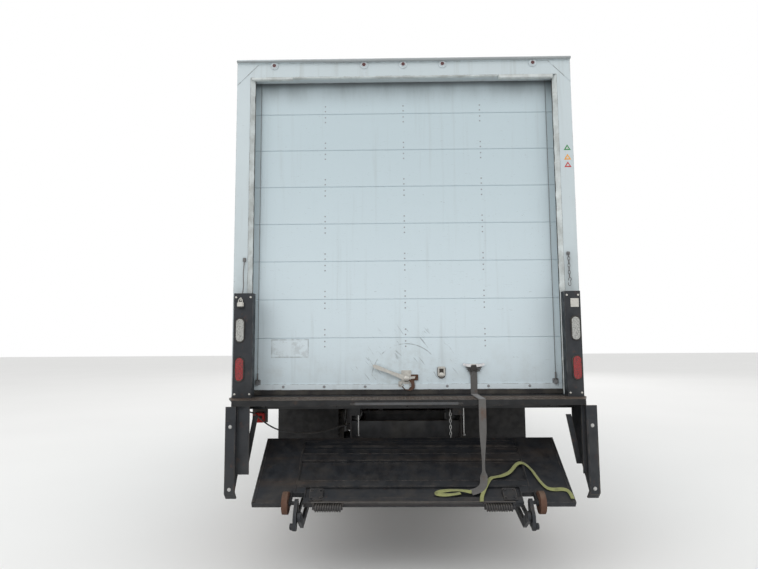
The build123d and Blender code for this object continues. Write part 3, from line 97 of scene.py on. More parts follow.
def from_bmesh(name, bm, body, material, smooth_below=35):
    """Turns a bmesh into a piece, shaded smooth below an angle in degrees."""
    bmesh.ops.recalc_face_normals(bm, faces=bm.faces)
    mesh = bpy.data.meshes.new(name)
    limit = radians(smooth_below)
    for face in bm.faces:
        face.smooth = smooth_below > 0
    for edge in bm.edges:
        edge.smooth = len(edge.link_faces) == 2 and edge.calc_face_angle(0) < limit
    bm.to_mesh(mesh)
    bm.free()
    return place(bpy.data.objects.new(name, mesh), body, material)


def add_box(bm, low, high, bevel=0.0, turn=None):
    """Box between two corners, its edges bevelled, and turned by a matrix about its middle."""
    low, high = Vector(low), Vector(high)
    middle, size = (low + high) / 2, high - low
    part = bmesh.new()
    bmesh.ops.create_cube(part, size=1)
    for vert in part.verts:
        vert.co = Vector(vert.co[i] * size[i] for i in range(3))
    if bevel:
        edge = min(bevel, 0.45 * min(abs(s) for s in size))
        bmesh.ops.bevel(part, geom=list(part.edges), offset=edge, segments=2, affect="EDGES")
    made = {}
    for vert in part.verts:
        made[vert] = bm.verts.new((turn @ vert.co if turn else vert.co) + middle)
    for face in part.faces:
        bm.faces.new([made[vert] for vert in face.verts])
    part.free()


def turns(count, start=0.0, span=2 * pi):
    """Angles of a full turn, or of a part of one, without its end."""
    return [start + span * k / count for k in range(count)]


def circle(centre, radius, count, across=False):
    """Points of an upright circle along the truck, or across it."""
    x, y, z = centre
    if across:
        return [(x + radius * cos(a), y, z + radius * sin(a)) for a in turns(count)]
    return [(x, y + radius * cos(a), z + radius * sin(a)) for a in turns(count)]


def bridge(bm, rings, loop=False, caps=True):
    """Faces between rings of vertices; a row of rings gets its ends closed, a loop has none."""
    for a, b in zip(rings, rings[1:] + (rings[:1] if loop else [])):
        count = len(a)
        for k in range(count):
            bm.faces.new((a[k], a[(k + 1) % count], b[(k + 1) % count], b[k]))
    if caps and not loop:
        bm.faces.new(rings[0][::-1])
        bm.faces.new(rings[-1])


def add_lathe(bm, start, out, profile, segments=24):
    """Turned shape standing along out: profile rows are (distance from start, radius)."""
    turn = Vector(out).to_track_quat("Z", "Y").to_matrix().to_4x4()
    matrix = Matrix.Translation(Vector(start)) @ turn
    rings = [
        [bm.verts.new(matrix @ Vector((radius * cos(a), radius * sin(a), along))) for a in turns(segments)]
        for along, radius in profile
    ]
    bridge(bm, rings)


def add_rod(bm, start, end, radius, segments=16):
    """Round bar with its ends slightly rounded."""
    line = Vector(end) - Vector(start)
    edge = min(radius * 0.12, line.length / 4)
    rows = [(0, radius - edge), (edge, radius), (line.length - edge, radius), (line.length, radius - edge)]
    add_lathe(bm, start, line, rows, segments)


def add_bolt(bm, point, out, across, high):
    """Hexagon bolt head on a washer, standing along out."""
    add_lathe(bm, point, out, [(0, across * 0.72), (high * 0.2, across * 0.7)], 16)
    rows = [(high * 0.2, across * 0.52), (high * 0.85, across * 0.52), (high, across * 0.42)]
    add_lathe(bm, point, out, rows, 6)


def one_box(name, low, high, bevel, material, body="root"):
    """A piece that is a single bevelled box."""
    bm = bmesh.new()
    add_box(bm, low, high, bevel)
    from_bmesh(name, bm, body, material)


def add_tube(bm, points, radius, segments=8, closed=False):
    """Round tube along points, its section carried along without twist."""
    points = [Vector(p) for p in points]
    count = len(points)
    rings, side = [], None
    for i, p in enumerate(points):
        if closed:
            ahead = (points[(i + 1) % count] - points[i - 1]).normalized()
        else:
            ahead = (points[min(i + 1, count - 1)] - points[max(i - 1, 0)]).normalized()
        if side is None:
            side = ahead.orthogonal().normalized()
        side = (side - ahead * side.dot(ahead)).normalized()
        other = ahead.cross(side)
        spots = [p + radius * (cos(a) * side + sin(a) * other) for a in turns(segments)]
        rings.append([bm.verts.new(spot) for spot in spots])
    bridge(bm, rings, closed)


def add_slab(bm, outline, normal, thick):
    """Flat plate: outline points in order, made thick along a normal."""
    shift = Vector(normal) * thick
    low = [bm.verts.new(Vector(p)) for p in outline]
    high = [bm.verts.new(Vector(p) + shift) for p in outline]
    bridge(bm, [low, high])


def oval(x, z, half_wide, half_high, y, count=28):
    """Points of an upright slot shape, across the truck at y."""
    radius = min(half_wide, half_high)
    rise = half_high - radius
    return [
        (x + radius * cos(a), y, z + radius * sin(a) + (rise if sin(a) >= 0 else -rise))
        for a in turns(count, pi / count)
    ]


# Materials
class Shader:
    """Builds one procedural material on a Principled BSDF."""

    def __init__(self, name, made=None, **sockets):
        self.material = made or bpy.data.materials.new(name)
        self.material.use_nodes = True
        self.tree = self.material.node_tree
        self.bsdf = self.tree.nodes["Principled BSDF"]
        self.spot = self.node("TexCoord").outputs["Object"]
        self.set(**sockets)

    def feed(self, socket, value):
        """Links a socket or sets its number; a colour gets its fourth number."""
        if isinstance(value, bpy.types.NodeSocket):
            self.tree.links.new(value, socket)
        elif socket.type == "RGBA":
            socket.default_value = (*value, 1)
        else:
            socket.default_value = value

    def node(self, kind, settings=None, **inputs):
        """New node with its inputs, each named, or i and its number."""
        made = self.tree.nodes.new("ShaderNode" + kind)
        for key, value in (settings or {}).items():
            setattr(made, key, value)
        for key, value in inputs.items():
            self.feed(made.inputs[int(key[1:]) if key[1:].isdigit() else key.replace("_", " ")], value)
        return made

    def set(self, **sockets):
        """Sets or links the shader's own sockets, named with _ for each space."""
        for key, value in sockets.items():
            self.feed(self.bsdf.inputs[key.replace("_", " ")], value)
        return self

    def noise(self, scale, detail=3.0, rough=0.5, stretch=(1, 1, 1), bend=0.0):
        where = self.node("Mapping", Scale=stretch, Vector=self.spot).outputs[0]
        return self.node(
            "TexNoise", Vector=where, Scale=scale, Detail=detail, Roughness=rough, Distortion=bend
        ).outputs["Fac"]

    def cells(self, scale, stretch):
        where = self.node("Mapping", Scale=stretch, Vector=self.spot).outputs[0]
        return self.node("TexVoronoi", Vector=where, Scale=scale).outputs["Distance"]

    def bands(self, way, scale, **more):
        """Regular waves along one axis."""
        kind = {"wave_type": "BANDS", "bands_direction": way}
        return self.node("TexWave", kind, Vector=self.spot, Scale=scale, **more).outputs["Fac"]

    def range(self, value, low, high, to_low=0.0, to_high=1.0):
        """Smooth step from low to high, between two results."""
        return self.node(
            "MapRange", {"interpolation_type": "SMOOTHSTEP"},
            Value=value, From_Min=low, From_Max=high, To_Min=to_low, To_Max=to_high,
        ).outputs[0]

    def math(self, kind, a, b=0.0, clamp=True):
        return self.node("Math", {"operation": kind, "use_clamp": clamp}, i0=a, i1=b).outputs[0]

    def times(self, a, b):
        return self.math("MULTIPLY", a, b)

    def off(self, value, middle):
        """Distance of a coordinate from its middle."""
        apart = self.math("SUBTRACT", value, middle, False)
        return self.node("Math", {"operation": "ABSOLUTE"}, i0=apart).outputs[0]

    def mix(self, fac, a, b):
        return self.node("Mix", {"data_type": "RGBA", "clamp_factor": True}, i0=fac, i6=a, i7=b).outputs[2]

    def finish(self, tone, scale, detail, low, high):
        """Base colour, and roughness that wanders between two values."""
        self.set(Base_Color=tone, Roughness=self.range(self.noise(scale, detail), 0.3, 0.7, low, high))

    def axis(self, name):
        """One coordinate in metres."""
        return self.node("SeparateXYZ", Vector=self.spot).outputs[name]

    def facing_up(self):
        """1 on faces that look up, 0 on the rest, where dust settles."""
        normal = self.node("NewGeometry").outputs["Normal"]
        return self.range(self.node("SeparateXYZ", Vector=normal).outputs["Z"], 0.3, 0.95)

    def worn_edges(self, radius, low=0.86, high=0.98):
        """1 along sharp edges, broken up by noise."""
        geometry = self.node("NewGeometry").outputs["Normal"]
        soft = self.node("Bevel", {"samples": 4}, Radius=radius).outputs[0]
        dot = self.node("VectorMath", {"operation": "DOT_PRODUCT"}, i0=geometry, i1=soft).outputs["Value"]
        edge = self.range(dot, low, high, 1.0, 0.0)
        return self.times(edge, self.range(self.noise(14, 4, 0.6), 0.38, 0.6))

    def bump(self, height, strength, distance=0.001):
        made = self.node("Bump", Strength=strength, Distance=distance, Height=height).outputs[0]
        self.set(Normal=made)
        return self


def lin(r, g, b):
    """sRGB bytes to the linear numbers that shaders take."""
    return tuple(c / 255 / 12.92 if c < 11 else ((c / 255 + 0.055) / 1.055) ** 2.4 for c in (r, g, b))


def shade(color, factor):
    """A colour made darker or paler."""
    return tuple(c * factor for c in color)


GRIME = lin(96, 92, 84)
RUST = lin(116, 66, 38)
DUST = lin(150, 140, 122)


def white_paint(name, color, streak=0.35, low=(1.2, 1.7), chips=0.2, edge=0.5, rough=0.42):
    """Weathered white: rain streaks, grime rising from below, chips with a little rust."""
    s = Shader(name, Metallic=0.0, IOR=1.46)
    tone = s.mix(s.noise(1.3, 4), color, shade(color, 0.9))
    runs = s.range(s.noise(5, 5, 0.6, (4.2, 4.2, 0.22)), 0.5, 0.8, 0, streak)
    tone = s.mix(runs, tone, lin(140, 142, 136))
    rise = s.range(s.axis("Z"), low[0], low[1], 1.0, 0.0)
    dirt = s.times(rise, s.range(s.noise(3.5, 6, 0.65), 0.35, 0.7, 0.0, 0.55))
    tone = s.mix(dirt, tone, GRIME)
    specks = s.range(s.noise(26, 5, 0.7), 0.66, 0.74, 0, chips)
    tone = s.mix(specks, tone, lin(110, 104, 96))
    if edge:
        worn = s.times(s.worn_edges(0.006), edge)
        tone = s.mix(worn, tone, lin(96, 84, 70))
    s.finish(tone, 7, 3, rough - 0.08, rough + 0.14)
    return s.bump(s.noise(90, 2), 0.06).material


def dark_steel(name, color, dust=0.5, rust=0.25, rough=0.55, edge=0.6, scale=1.0, metallic=0.25):
    """Black-painted steel gone dull: dust on top, rust spots, bare edges."""
    s = Shader(name, Metallic=metallic)
    tone = s.mix(s.noise(9 * scale, 5, 0.6), color, tuple(c * 1.9 + 0.006 for c in color))
    blotch = s.range(s.noise(17 * scale, 6, 0.7, bend=0.4), 0.58, 0.72, 0, rust)
    tone = s.mix(blotch, tone, RUST)
    settled = s.times(s.facing_up(), s.range(s.noise(6 * scale, 5, 0.6), 0.25, 0.7, 0.2 * dust, dust))
    tone = s.mix(settled, tone, DUST)
    film = s.range(s.noise(3.1, 5, 0.6, (1, 1, 0.5)), 0.42, 0.75, 0, 0.22 * dust)
    tone = s.mix(film, tone, DUST)
    if edge:
        tone = s.mix(s.times(s.worn_edges(0.004), edge), tone, lin(104, 92, 82))
    s.finish(tone, 13, 4, rough - 0.12, rough + 0.2)
    return s.bump(s.noise(70 * scale, 5, 0.65), 0.35, 0.0015).material


def metal(name, color, rough=0.3, rust=0.1, scale=1.0):
    """Plated or bare metal, brushed by use, a little stained."""
    s = Shader(name, Metallic=0.92)
    tone = s.mix(s.noise(30 * scale, 4), color, shade(color, 0.72))
    tone = s.mix(s.range(s.noise(45 * scale, 6, 0.7), 0.58, 0.7, 0, rust), tone, RUST)
    brushed = s.noise(60 * scale, 3, 0.5, (1, 1, 8))
    s.set(Base_Color=tone, Roughness=s.range(brushed, 0.3, 0.7, rough - 0.06, rough + 0.16))
    return s.bump(s.noise(120 * scale, 3), 0.08).material


def plastic(name, color, rough=0.5, grain=160, dust=0.25):
    """Moulded plastic with a fine grain and a film of dust."""
    s = Shader(name)
    tone = s.mix(s.range(s.noise(5, 5, 0.6), 0.4, 0.75, 0, dust), color, DUST)
    tone = s.mix(s.times(s.facing_up(), dust), tone, DUST)
    s.finish(tone, 20, 3, rough - 0.06, rough + 0.12)
    return s.bump(s.noise(grain, 2), 0.15, 0.0006).material


def lens(name, color, ribs=260.0):
    """Moulded lens with prisms behind its face."""
    s = Shader(name, IOR=1.5, Coat_Weight=0.6, Coat_Roughness=0.08)
    prism = s.cells(ribs, (1, 0.05, 1))
    s.finish(s.mix(s.range(prism, 0.2, 0.75), color, shade(color, 0.35)), 9, 4, 0.12, 0.3)
    return s.bump(prism, 0.3, 0.001).material


def glass(name, tint, clear=0.75):
    """Automotive glass, lightly tinted, with patches of dust."""
    s = Shader(name, Roughness=0.03, IOR=1.45, Transmission_Weight=clear)
    s.set(Base_Color=s.mix(s.range(s.noise(4, 5, 0.6), 0.45, 0.8, 0, 0.12), tint, DUST))
    return s.material


def rubber(name, color=(0.018, 0.018, 0.019), dust=0.5, scale=1.0):
    """Tyre rubber with dust in patches."""
    s = Shader(name, Specular_IOR_Level=0.35)
    tone = s.mix(s.noise(6 * scale, 4), color, shade(color, 1.8))
    dirt = s.range(s.noise(8 * scale, 6, 0.65), 0.36, 0.68, 0.05, dust)
    tone = s.mix(dirt, tone, lin(104, 98, 88))
    s.finish(tone, 15, 3, 0.62, 0.9)
    return s.bump(s.noise(110 * scale, 4), 0.3, 0.001).material


def cloth(name, color, second, threads=420.0, rough=0.9):
    """Woven cloth: two thread directions, paler and darker patches."""
    s = Shader(name, Sheen_Weight=0.2, Roughness=rough)
    across, down = (s.bands(way, threads, Distortion=0.6, Detail=1.0) for way in ("X", "Z"))
    weave = s.times(across, down)
    tone = s.mix(s.noise(12, 5), color, second)
    s.set(Base_Color=s.mix(s.times(weave, 0.35), tone, shade(color, 0.5)))
    return s.bump(weave, 0.4, 0.0008).material


WHITE = lin(198, 209, 213)
body_white = white_paint("body_white", WHITE, 0.18, (1.1, 1.6), 0.1)
cab_white = white_paint("cab_white", lin(208, 214, 216), 0.1, (0.95, 1.35), 0.06, 0.2, 0.3)
rim_white = white_paint("rim_white", lin(172, 174, 172), 0.3, (0.1, 0.9), 0.5, 0.8, 0.5)
chassis_black = dark_steel("chassis_black", (0.0095, 0.01, 0.0115), 0.3, 0.1)
post_black = dark_steel("post_black", (0.0105, 0.0125, 0.0155), 0.18, 0.2, 0.5, 0.9)
rust_steel = dark_steel("rust_steel", lin(74, 50, 38), 0.25, 0.55, 0.75, 0.3, 2.0)
zinc = metal("zinc", (0.55, 0.55, 0.54), 0.32, 0.2)
worn_zinc = metal("worn_zinc", (0.60, 0.59, 0.55), 0.46, 0.45, 1.6)
rivet_grey = metal("rivet_grey", (0.36, 0.37, 0.38), 0.45, 0.15)
cable_grey = dark_steel("cable_grey", (0.11, 0.11, 0.11), 0.2, 0.3, 0.5, 0, 3.0, 0.6)
chrome = metal("chrome", (0.78, 0.78, 0.79), 0.12, 0.03)
alloy = metal("alloy", (0.62, 0.63, 0.64), 0.34, 0.03, 0.4)
cast = dark_steel("cast", (0.05, 0.048, 0.045), 0.5, 0.5, 0.7, 0.3)
trim_black = plastic("trim_black", (0.016, 0.016, 0.017), 0.45)
trim_grey = plastic("trim_grey", (0.09, 0.092, 0.097), 0.6, 220, 0.1)
dark_lens = lens("dark_lens", lin(64, 10, 12), 500)
clear_lens = lens("clear_lens", lin(206, 206, 196))
amber_lens = lens("amber_lens", lin(206, 96, 14))
tyre_rubber = rubber("tyre_rubber")
flap_rubber = rubber("flap_rubber", (0.006, 0.0065, 0.008), 0.1)
seal_rubber = rubber("seal_rubber", (0.014, 0.014, 0.015), 0.35)
seal_cream = rubber("seal_cream", lin(178, 184, 184), 0.42)
spring_steel = dark_steel("spring_steel", (0.045, 0.043, 0.042), 0.15, 0.35, 0.42, 0.3, 2.0, 0.6)
bar_grey = dark_steel("bar_grey", (0.055, 0.057, 0.06), 0.2, 0.15, 0.5, 0.5, 2.0, 0.4)
drip_grey = white_paint("drip_grey", lin(150, 156, 158), 0.3, (1, 1.1), 0.4, 0.8)
tri_green = plastic("tri_green", lin(38, 128, 66), 0.35, 60, 0.1)
tri_amber = plastic("tri_amber", lin(222, 150, 24), 0.35, 60, 0.1)
tri_red = plastic("tri_red", lin(178, 34, 32), 0.35, 60, 0.1)
screen_glass = glass("screen_glass", (0.62, 0.7, 0.7))
mirror_face = metal("mirror_face", (0.86, 0.87, 0.88), 0.03, 0.0)
seat_cloth = cloth("seat_cloth", lin(86, 88, 92), lin(62, 64, 68))


def gate_material():
    """Near-black gate: brown dust in faint bands along the folds, worn edges, a few rust spots."""
    s = Shader("gate_steel", Metallic=0.3)
    tone = s.mix(s.noise(8, 5, 0.6), (0.0115, 0.0135, 0.0175), (0.026, 0.0295, 0.035))
    bands = s.range(s.noise(5.5, 6, 0.6, (0.16, 1.3, 1.3), 0.3), 0.5, 0.78, 0, 0.32)
    tone = s.mix(bands, tone, lin(92, 74, 56))
    spots = s.range(s.noise(24, 6, 0.72, bend=0.5), 0.62, 0.72, 0, 0.4)
    tone = s.mix(spots, tone, lin(92, 54, 34))
    settled = s.times(s.facing_up(), s.range(s.noise(9, 5, 0.65), 0.35, 0.8, 0.0, 0.16))
    tone = s.mix(settled, tone, lin(120, 108, 92))
    tone = s.mix(s.times(s.worn_edges(0.004), 0.75), tone, lin(112, 106, 100))
    s.finish(tone, 15, 4, 0.36, 0.62)
    return s.bump(s.noise(75, 5, 0.65), 0.35, 0.0014).material


def frame_material():
    """Rear frame: weathered white, its lower rail painted black with the gate."""
    white = white_paint("frame_white", lin(192, 203, 207), 0.34, (1.2, 2.6), 0.4, 0.9)
    s = Shader("frame_white", white)
    base = s.bsdf.inputs["Base Color"].links[0].from_socket
    rail_top = s.range(s.axis("Z"), 1.203, 1.205, 1, 0)
    return s.set(Base_Color=s.mix(rail_top, base, (0.0125, 0.013, 0.0145))).material


def sill_material():
    """Sill plate: brown, walked-on top, black-painted lip and ribs."""
    s = Shader("sill_plate", Metallic=0.3)
    spots = s.range(s.noise(11, 6, 0.7, bend=0.3), 0.56, 0.72, 0, 0.35)
    under = s.mix(spots, (0.013, 0.0135, 0.0145), lin(74, 56, 44))
    top = s.mix(s.noise(14, 6, 0.7), lin(70, 58, 50), lin(98, 84, 72))
    top = s.mix(s.range(s.noise(5, 6, 0.65, (0.3, 1, 1)), 0.5, 0.75, 0, 0.7), top, lin(52, 42, 36))
    tone = s.mix(s.facing_up(), under, top)
    tone = s.mix(s.times(s.worn_edges(0.004), 0.6), tone, lin(110, 98, 88))
    s.finish(tone, 15, 4, 0.5, 0.75)
    return s.bump(s.noise(80, 5, 0.65), 0.4, 0.0014).material


MARKER_X = (-1.005, -0.305, 0.0, 0.305, 1.005)
MARKER_Z = ROOF - 0.047


def rear_lamp_material():
    """Rear lamps: dark red markers on top, clear upper ovals, red lower ovals."""
    s = Shader("rear_lamp_lens", IOR=1.5, Coat_Weight=0.6, Coat_Roughness=0.08)
    prism = s.cells(230.0, (1, 0.05, 1))
    z = s.axis("Z")
    clear = s.times(s.range(z, 1.55, 1.551), s.range(z, 2.5, 2.501, 1, 0))
    marker = s.range(z, 3.0, 3.001)
    tone = s.mix(clear, lin(170, 16, 20), lin(188, 190, 184))
    tone = s.mix(marker, tone, lin(74, 8, 12))
    away = 1.0
    flat = s.node("CombineXYZ", X=s.axis("X"), Z=z).outputs[0]
    for x in MARKER_X:
        gap = s.node("VectorMath", {"operation": "DISTANCE"}, i0=flat, i1=(x, 0, MARKER_Z)).outputs["Value"]
        away = s.math("MINIMUM", gap, away, False)
    base = s.times(marker, s.range(away, 0.0145, 0.0152))
    deep = s.mix(clear, (0.06, 0.002, 0.003), (0.17, 0.17, 0.165))
    s.finish(s.mix(base, s.mix(s.range(prism, 0.15, 0.8), tone, deep), lin(188, 198, 202)), 9, 4, 0.12, 0.32)
    return s.bump(prism, 0.35, 0.001).material


def floor_material():
    """Load floor: oiled hardwood boards above, painted steel bearers below."""
    s = Shader("floor_boards")
    x, z = s.axis("X"), s.axis("Z")
    grain = s.noise(6, 7, 0.62, (14, 0.5, 14), 0.35)
    tone = s.mix(s.range(grain, 0.3, 0.72), lin(128, 96, 64), lin(92, 64, 42))
    board = s.math("MULTIPLY", x, 7.4, False)
    board = s.node("Math", {"operation": "FRACT"}, i0=board).outputs[0]
    seam = s.math("ADD", s.range(board, 0.0, 0.025, 1, 0), s.range(board, 0.975, 1.0))
    tone = s.mix(seam, tone, (0.012, 0.01, 0.008))
    tone = s.mix(s.range(s.noise(1.5, 5, 0.6), 0.42, 0.75, 0, 0.5), tone, lin(98, 90, 80))
    steel = s.range(z, 1.165, 1.166, 1, 0)
    dark = s.mix(s.range(s.noise(9, 6, 0.7), 0.5, 0.72, 0, 0.5), (0.014, 0.014, 0.015), lin(86, 66, 50))
    s.set(Base_Color=s.mix(steel, tone, dark), Roughness=s.range(grain, 0.3, 0.7, 0.5, 0.78))
    return s.bump(grain, 0.2, 0.001).material


def strap_material(name, color, stain):
    """Flat webbing: ribbed along its weave, dirty in patches."""
    s = Shader(name, Sheen_Weight=0.25, Roughness=0.85)
    weave = s.times(s.bands("X", 110.0), s.math("MAXIMUM", s.bands("Z", 190.0), s.bands("Y", 190.0)))
    tone = s.mix(s.noise(16, 5), color, shade(color, 0.62))
    tone = s.mix(s.range(s.noise(9, 5, 0.7), 0.5, 0.72, 0, 0.65), tone, stain)
    s.set(Base_Color=s.mix(s.times(weave, 0.4), tone, shade(color, 0.35)))
    return s.bump(weave, 0.5, 0.0008).material


# Middle of the pale rectangle on the door and pivot of the latch's lever, in x and z; the lever's length
GHOST_AT = (-0.883, 1.551)
LEVER_PIVOT = (0.003, 1.32)
LEVER_REACH = 0.262


def door_material():
    """Coated door panels: cool white, darker towards the top as painted shade under the header, faint runs,
    scuffs round the latch.
    """
    s = Shader("door_white", IOR=1.46)
    x, z = s.axis("X"), s.axis("Z")
    # Painted shade: the white grows darker from 1.3 m up to 3.3 m, where the recessed door lies in the
    # header's shade
    tone = s.mix(s.range(z, 1.3, 3.3), lin(204, 217, 223), lin(180, 195, 201))
    tone = s.mix(s.times(s.noise(0.9, 5, 0.55), 0.3), tone, lin(190, 204, 210))
    runs = s.range(s.noise(6, 5, 0.6, (3.5, 1, 0.16)), 0.54, 0.82, 0, 0.26)
    tone = s.mix(runs, tone, lin(150, 156, 156))
    # The arc that the lever has rubbed about its pivot
    dx = s.math("SUBTRACT", x, LEVER_PIVOT[0], False)
    dz = s.math("SUBTRACT", z, LEVER_PIVOT[1], False)
    square = [s.math("MULTIPLY", d, d, False) for d in (dx, dz)]
    away = s.math("ADD", square[0], square[1], False)
    radius = s.node("Math", {"operation": "SQRT"}, i0=away).outputs[0]
    arc = s.times(s.range(s.off(radius, LEVER_REACH), 0.001, 0.006, 1, 0), s.range(dz, 0.0, 0.08))
    arc = s.times(arc, s.range(s.noise(20, 3), 0.4, 0.62))
    smear = s.times(s.range(radius, 0.08, 0.36, 0.34, 0), s.range(s.noise(11, 6, 0.7), 0.42, 0.72))
    tone = s.mix(s.times(arc, 0.6), tone, lin(96, 100, 102))
    tone = s.mix(smear, tone, lin(146, 148, 142))
    # Slanting scuffs in the lever's reach
    lean = (0, radians(52), 0)
    slanted = s.node("Mapping", {"vector_type": "TEXTURE"}, Rotation=lean, Scale=(1, 1, 0.13), Vector=s.spot)
    strokes = s.node("TexNoise", Vector=slanted.outputs[0], Scale=7.0, Detail=4.0, Roughness=0.6)
    strokes = strokes.outputs["Fac"]
    reach = s.times(s.range(radius, 0.10, 0.18), s.range(radius, 0.36, 0.46, 1, 0))
    strokes = s.times(s.range(strokes, 0.60, 0.68, 0, 0.6), reach)
    tone = s.mix(strokes, tone, lin(112, 120, 124))
    low = s.times(s.range(z, 1.24, 1.75, 1, 0), s.range(s.noise(7, 6, 0.65), 0.42, 0.78, 0, 0.26))
    tone = s.mix(low, tone, lin(158, 158, 150))
    # Painted shade under the header: a broken darker band from 3.42 m up
    header_shade_noise = s.range(s.noise(5, 5, 0.6, (1, 1, 0.2)), 0.3, 0.7, 0.35, 0.75)
    high = s.times(s.range(z, 3.42, 3.66), header_shade_noise)
    tone = s.mix(high, tone, lin(112, 118, 120))
    # Painted shadow line along the door's top edge, under the header seal
    tone = s.mix(s.range(z, 3.60, 3.655, 0, 0.75), tone, lin(52, 54, 56))
    # Pale rectangle with a dirty outline, where something was once stuck on
    across, rise = s.off(x, GHOST_AT[0]), s.off(z, GHOST_AT[1])
    inside = s.times(s.range(across, 0.142, 0.147, 1, 0), s.range(rise, 0.069, 0.073, 1, 0))
    core = s.times(s.range(across, 0.132, 0.139, 1, 0), s.range(rise, 0.059, 0.065, 1, 0))
    rim = s.times(s.math("SUBTRACT", inside, core), s.range(s.noise(24, 4, 0.6), 0.38, 0.6, 0.15, 0.6))
    tone = s.mix(s.times(inside, 0.3), tone, lin(214, 222, 226))
    tone = s.mix(rim, tone, lin(124, 130, 132))
    patch = s.times(core, s.range(s.noise(13, 5, 0.7), 0.5, 0.66, 0, 0.35))
    tone = s.mix(patch, tone, lin(148, 152, 152))
    scratch = s.range(s.noise(3.2, 2, 0.5, (2, 2, 12), 6.0), 0.705, 0.715, 0, 0.35)
    tone = s.mix(scratch, tone, lin(120, 124, 124))
    s.finish(tone, 6, 4, 0.3, 0.48)
    return s.bump(s.noise(1.1, 3, 0.5, (1, 1, 2.2)), 0.25, 0.01).material


door_white = door_material()
frame_white = frame_material()
gate_steel = gate_material()
lamp_lens = rear_lamp_material()
sill_steel = sill_material()
floor_wood = floor_material()
strip_white = white_paint("strip_white", lin(212, 223, 228), 0.2, (1.1, 1.25), 0.35, 0.8)
dark_webbing = strap_material("dark_webbing", lin(64, 62, 60), lin(56, 44, 36))
grey_webbing = strap_material("grey_webbing", lin(104, 102, 100), lin(92, 62, 42))
lime_webbing = strap_material("lime_webbing", lin(158, 162, 104), lin(84, 82, 58))
rail_alloy = white_paint("rail_alloy", lin(176, 180, 182), 0.3, (0.9, 1.3), 0.3, 0.6)
red_tape = plastic("red_tape", lin(150, 20, 24), 0.3, 300, 0.15)
white_tape = plastic("white_tape", lin(190, 190, 184), 0.3, 300, 0.15)
worn_steel = dark_steel("worn_steel", (0.16, 0.155, 0.15), 0.25, 0.4, 0.42, 0.2, 2.0, 0.75)
rear_glass = glass("rear_glass", (0.05, 0.055, 0.06), 0.2)


# Materials of the CAD nodes
looks = {
    chassis_black: (
        "chassis_frame leaf_springs rear_axle front_axle air_tanks tie_rod battery_box ram_barrels "
        "knuckle_left knuckle_right drive_shaft front_bumper"
    ),
    body_white: "body_sides body_front body_roof",
    frame_white: "rear_frame",
    door_white: "door_panels",
    cab_white: "cab_shell hood cab_door_left cab_door_right",
    rim_white: "front_rim_left front_rim_right rear_rims_left rear_rims_right",
    tyre_rubber: "front_tyre_left front_tyre_right rear_tyres_left rear_tyres_right",
    cast: "engine_block exhaust",
    trim_black: "radiator grille steering_wheel mirror_left mirror_right",
    trim_grey: "dashboard",
    alloy: "fuel_tank",
    screen_glass: "windshield door_glass_left door_glass_right",
    seat_cloth: "seats",
    worn_zinc: "door_latch",
    lamp_lens: "rear_lamps",
    clear_lens: "headlamps",
    sill_steel: "extension_plate",
    floor_wood: "body_floor",
    post_black: "lamp_boxes dock_bumpers",
    flap_rubber: "mud_flaps",
    gate_steel: "gate_mount lift_arms parallel_arms shackles gate_platform gate_flap",
    rust_steel: "gate_rollers",
    chrome: "ram_rods",
    grey_webbing: "pull_strap",
}
for material, names in looks.items():
    for name in names.split():
        slots = node[name].data.materials
        slots.clear()
        slots.append(material)


# Rear: door
JOINTS_Z = (1.628, 1.921, 2.213, 2.508, 2.803, 3.098, 3.397)
HINGE_RIVET_X = (-0.617, 0.0, 0.605)
HINGE_RIVET_STEPS = (-0.065, -0.025, 0.025, 0.065)
CABLE_X = 1.125
PANEL_HALF = 1.183


def door_details():
    """Rivets of the hinges, bolts of the bottom strip, a black rubber seal that also paints the shaded gap
    under the strip, and the lift cables.
    """
    bm = bmesh.new()
    head = [(0, 0.0062), (0.0022, 0.0055), (0.0034, 0.003)]
    for z in JOINTS_Z:
        for x in HINGE_RIVET_X:
            for step in HINGE_RIVET_STEPS:
                add_lathe(bm, (x, DOOR_FACE + 0.001, z + step), BACK, head, 10)
    from_bmesh("door_rivets", bm, "root", rivet_grey)

    bm = bmesh.new()
    for x in (-0.93, -0.62, -0.31, 0.31, 0.62, 0.93):
        add_bolt(bm, (x, DOOR_FACE - 0.009, 1.262), BACK, 0.015, 0.007)
    roller = [(0, 0.012), (0.012, 0.012), (0.016, 0.017), (0.022, 0.016)]
    for x in (-CABLE_X, CABLE_X):
        add_box(bm, (x - 0.022, DOOR_FACE - 0.009, 1.262), (x + 0.022, DOOR_FACE + 0.001, 1.318), 0.003)
        add_lathe(bm, (x, DOOR_FACE - 0.004, 1.29), BACK, roller, 16)
    from_bmesh("door_bolts", bm, "root", rivet_grey)

    bm = bmesh.new()
    for x in (-CABLE_X, CABLE_X):
        add_rod(bm, (x, DOOR_FACE - 0.014, 1.31), (x, DOOR_FACE - 0.012, 3.655), 0.0022, 6)
        loop = [(x + 0.013 * sin(a), DOOR_FACE - 0.016, 1.298 + 0.02 * cos(a)) for a in turns(14)]
        add_tube(bm, loop, 0.0035, 6, closed=True)
        add_rod(bm, (x, DOOR_FACE - 0.014, 1.318), (x, DOOR_FACE - 0.014, 1.365), 0.006, 10)
    from_bmesh("lift_cables", bm, "root", cable_grey)

    # Black seal below the retainer strip: partly a rubber seal, partly painted shade of the gap between strip
    # and sill
    low, high = (-PANEL_HALF, DOOR_FACE - 0.011, 1.2006), (PANEL_HALF, DOOR_FACE - 0.002, 1.2385)
    one_box("door_bottom_seal_gap_shade", low, high, 0.004, seal_rubber)
    low, high = (-PANEL_HALF, DOOR_FACE - 0.0095, 1.2388), (PANEL_HALF, DOOR_FACE + 0.001, 1.281)
    one_box("door_retainer_strip", low, high, 0.0015, strip_white)


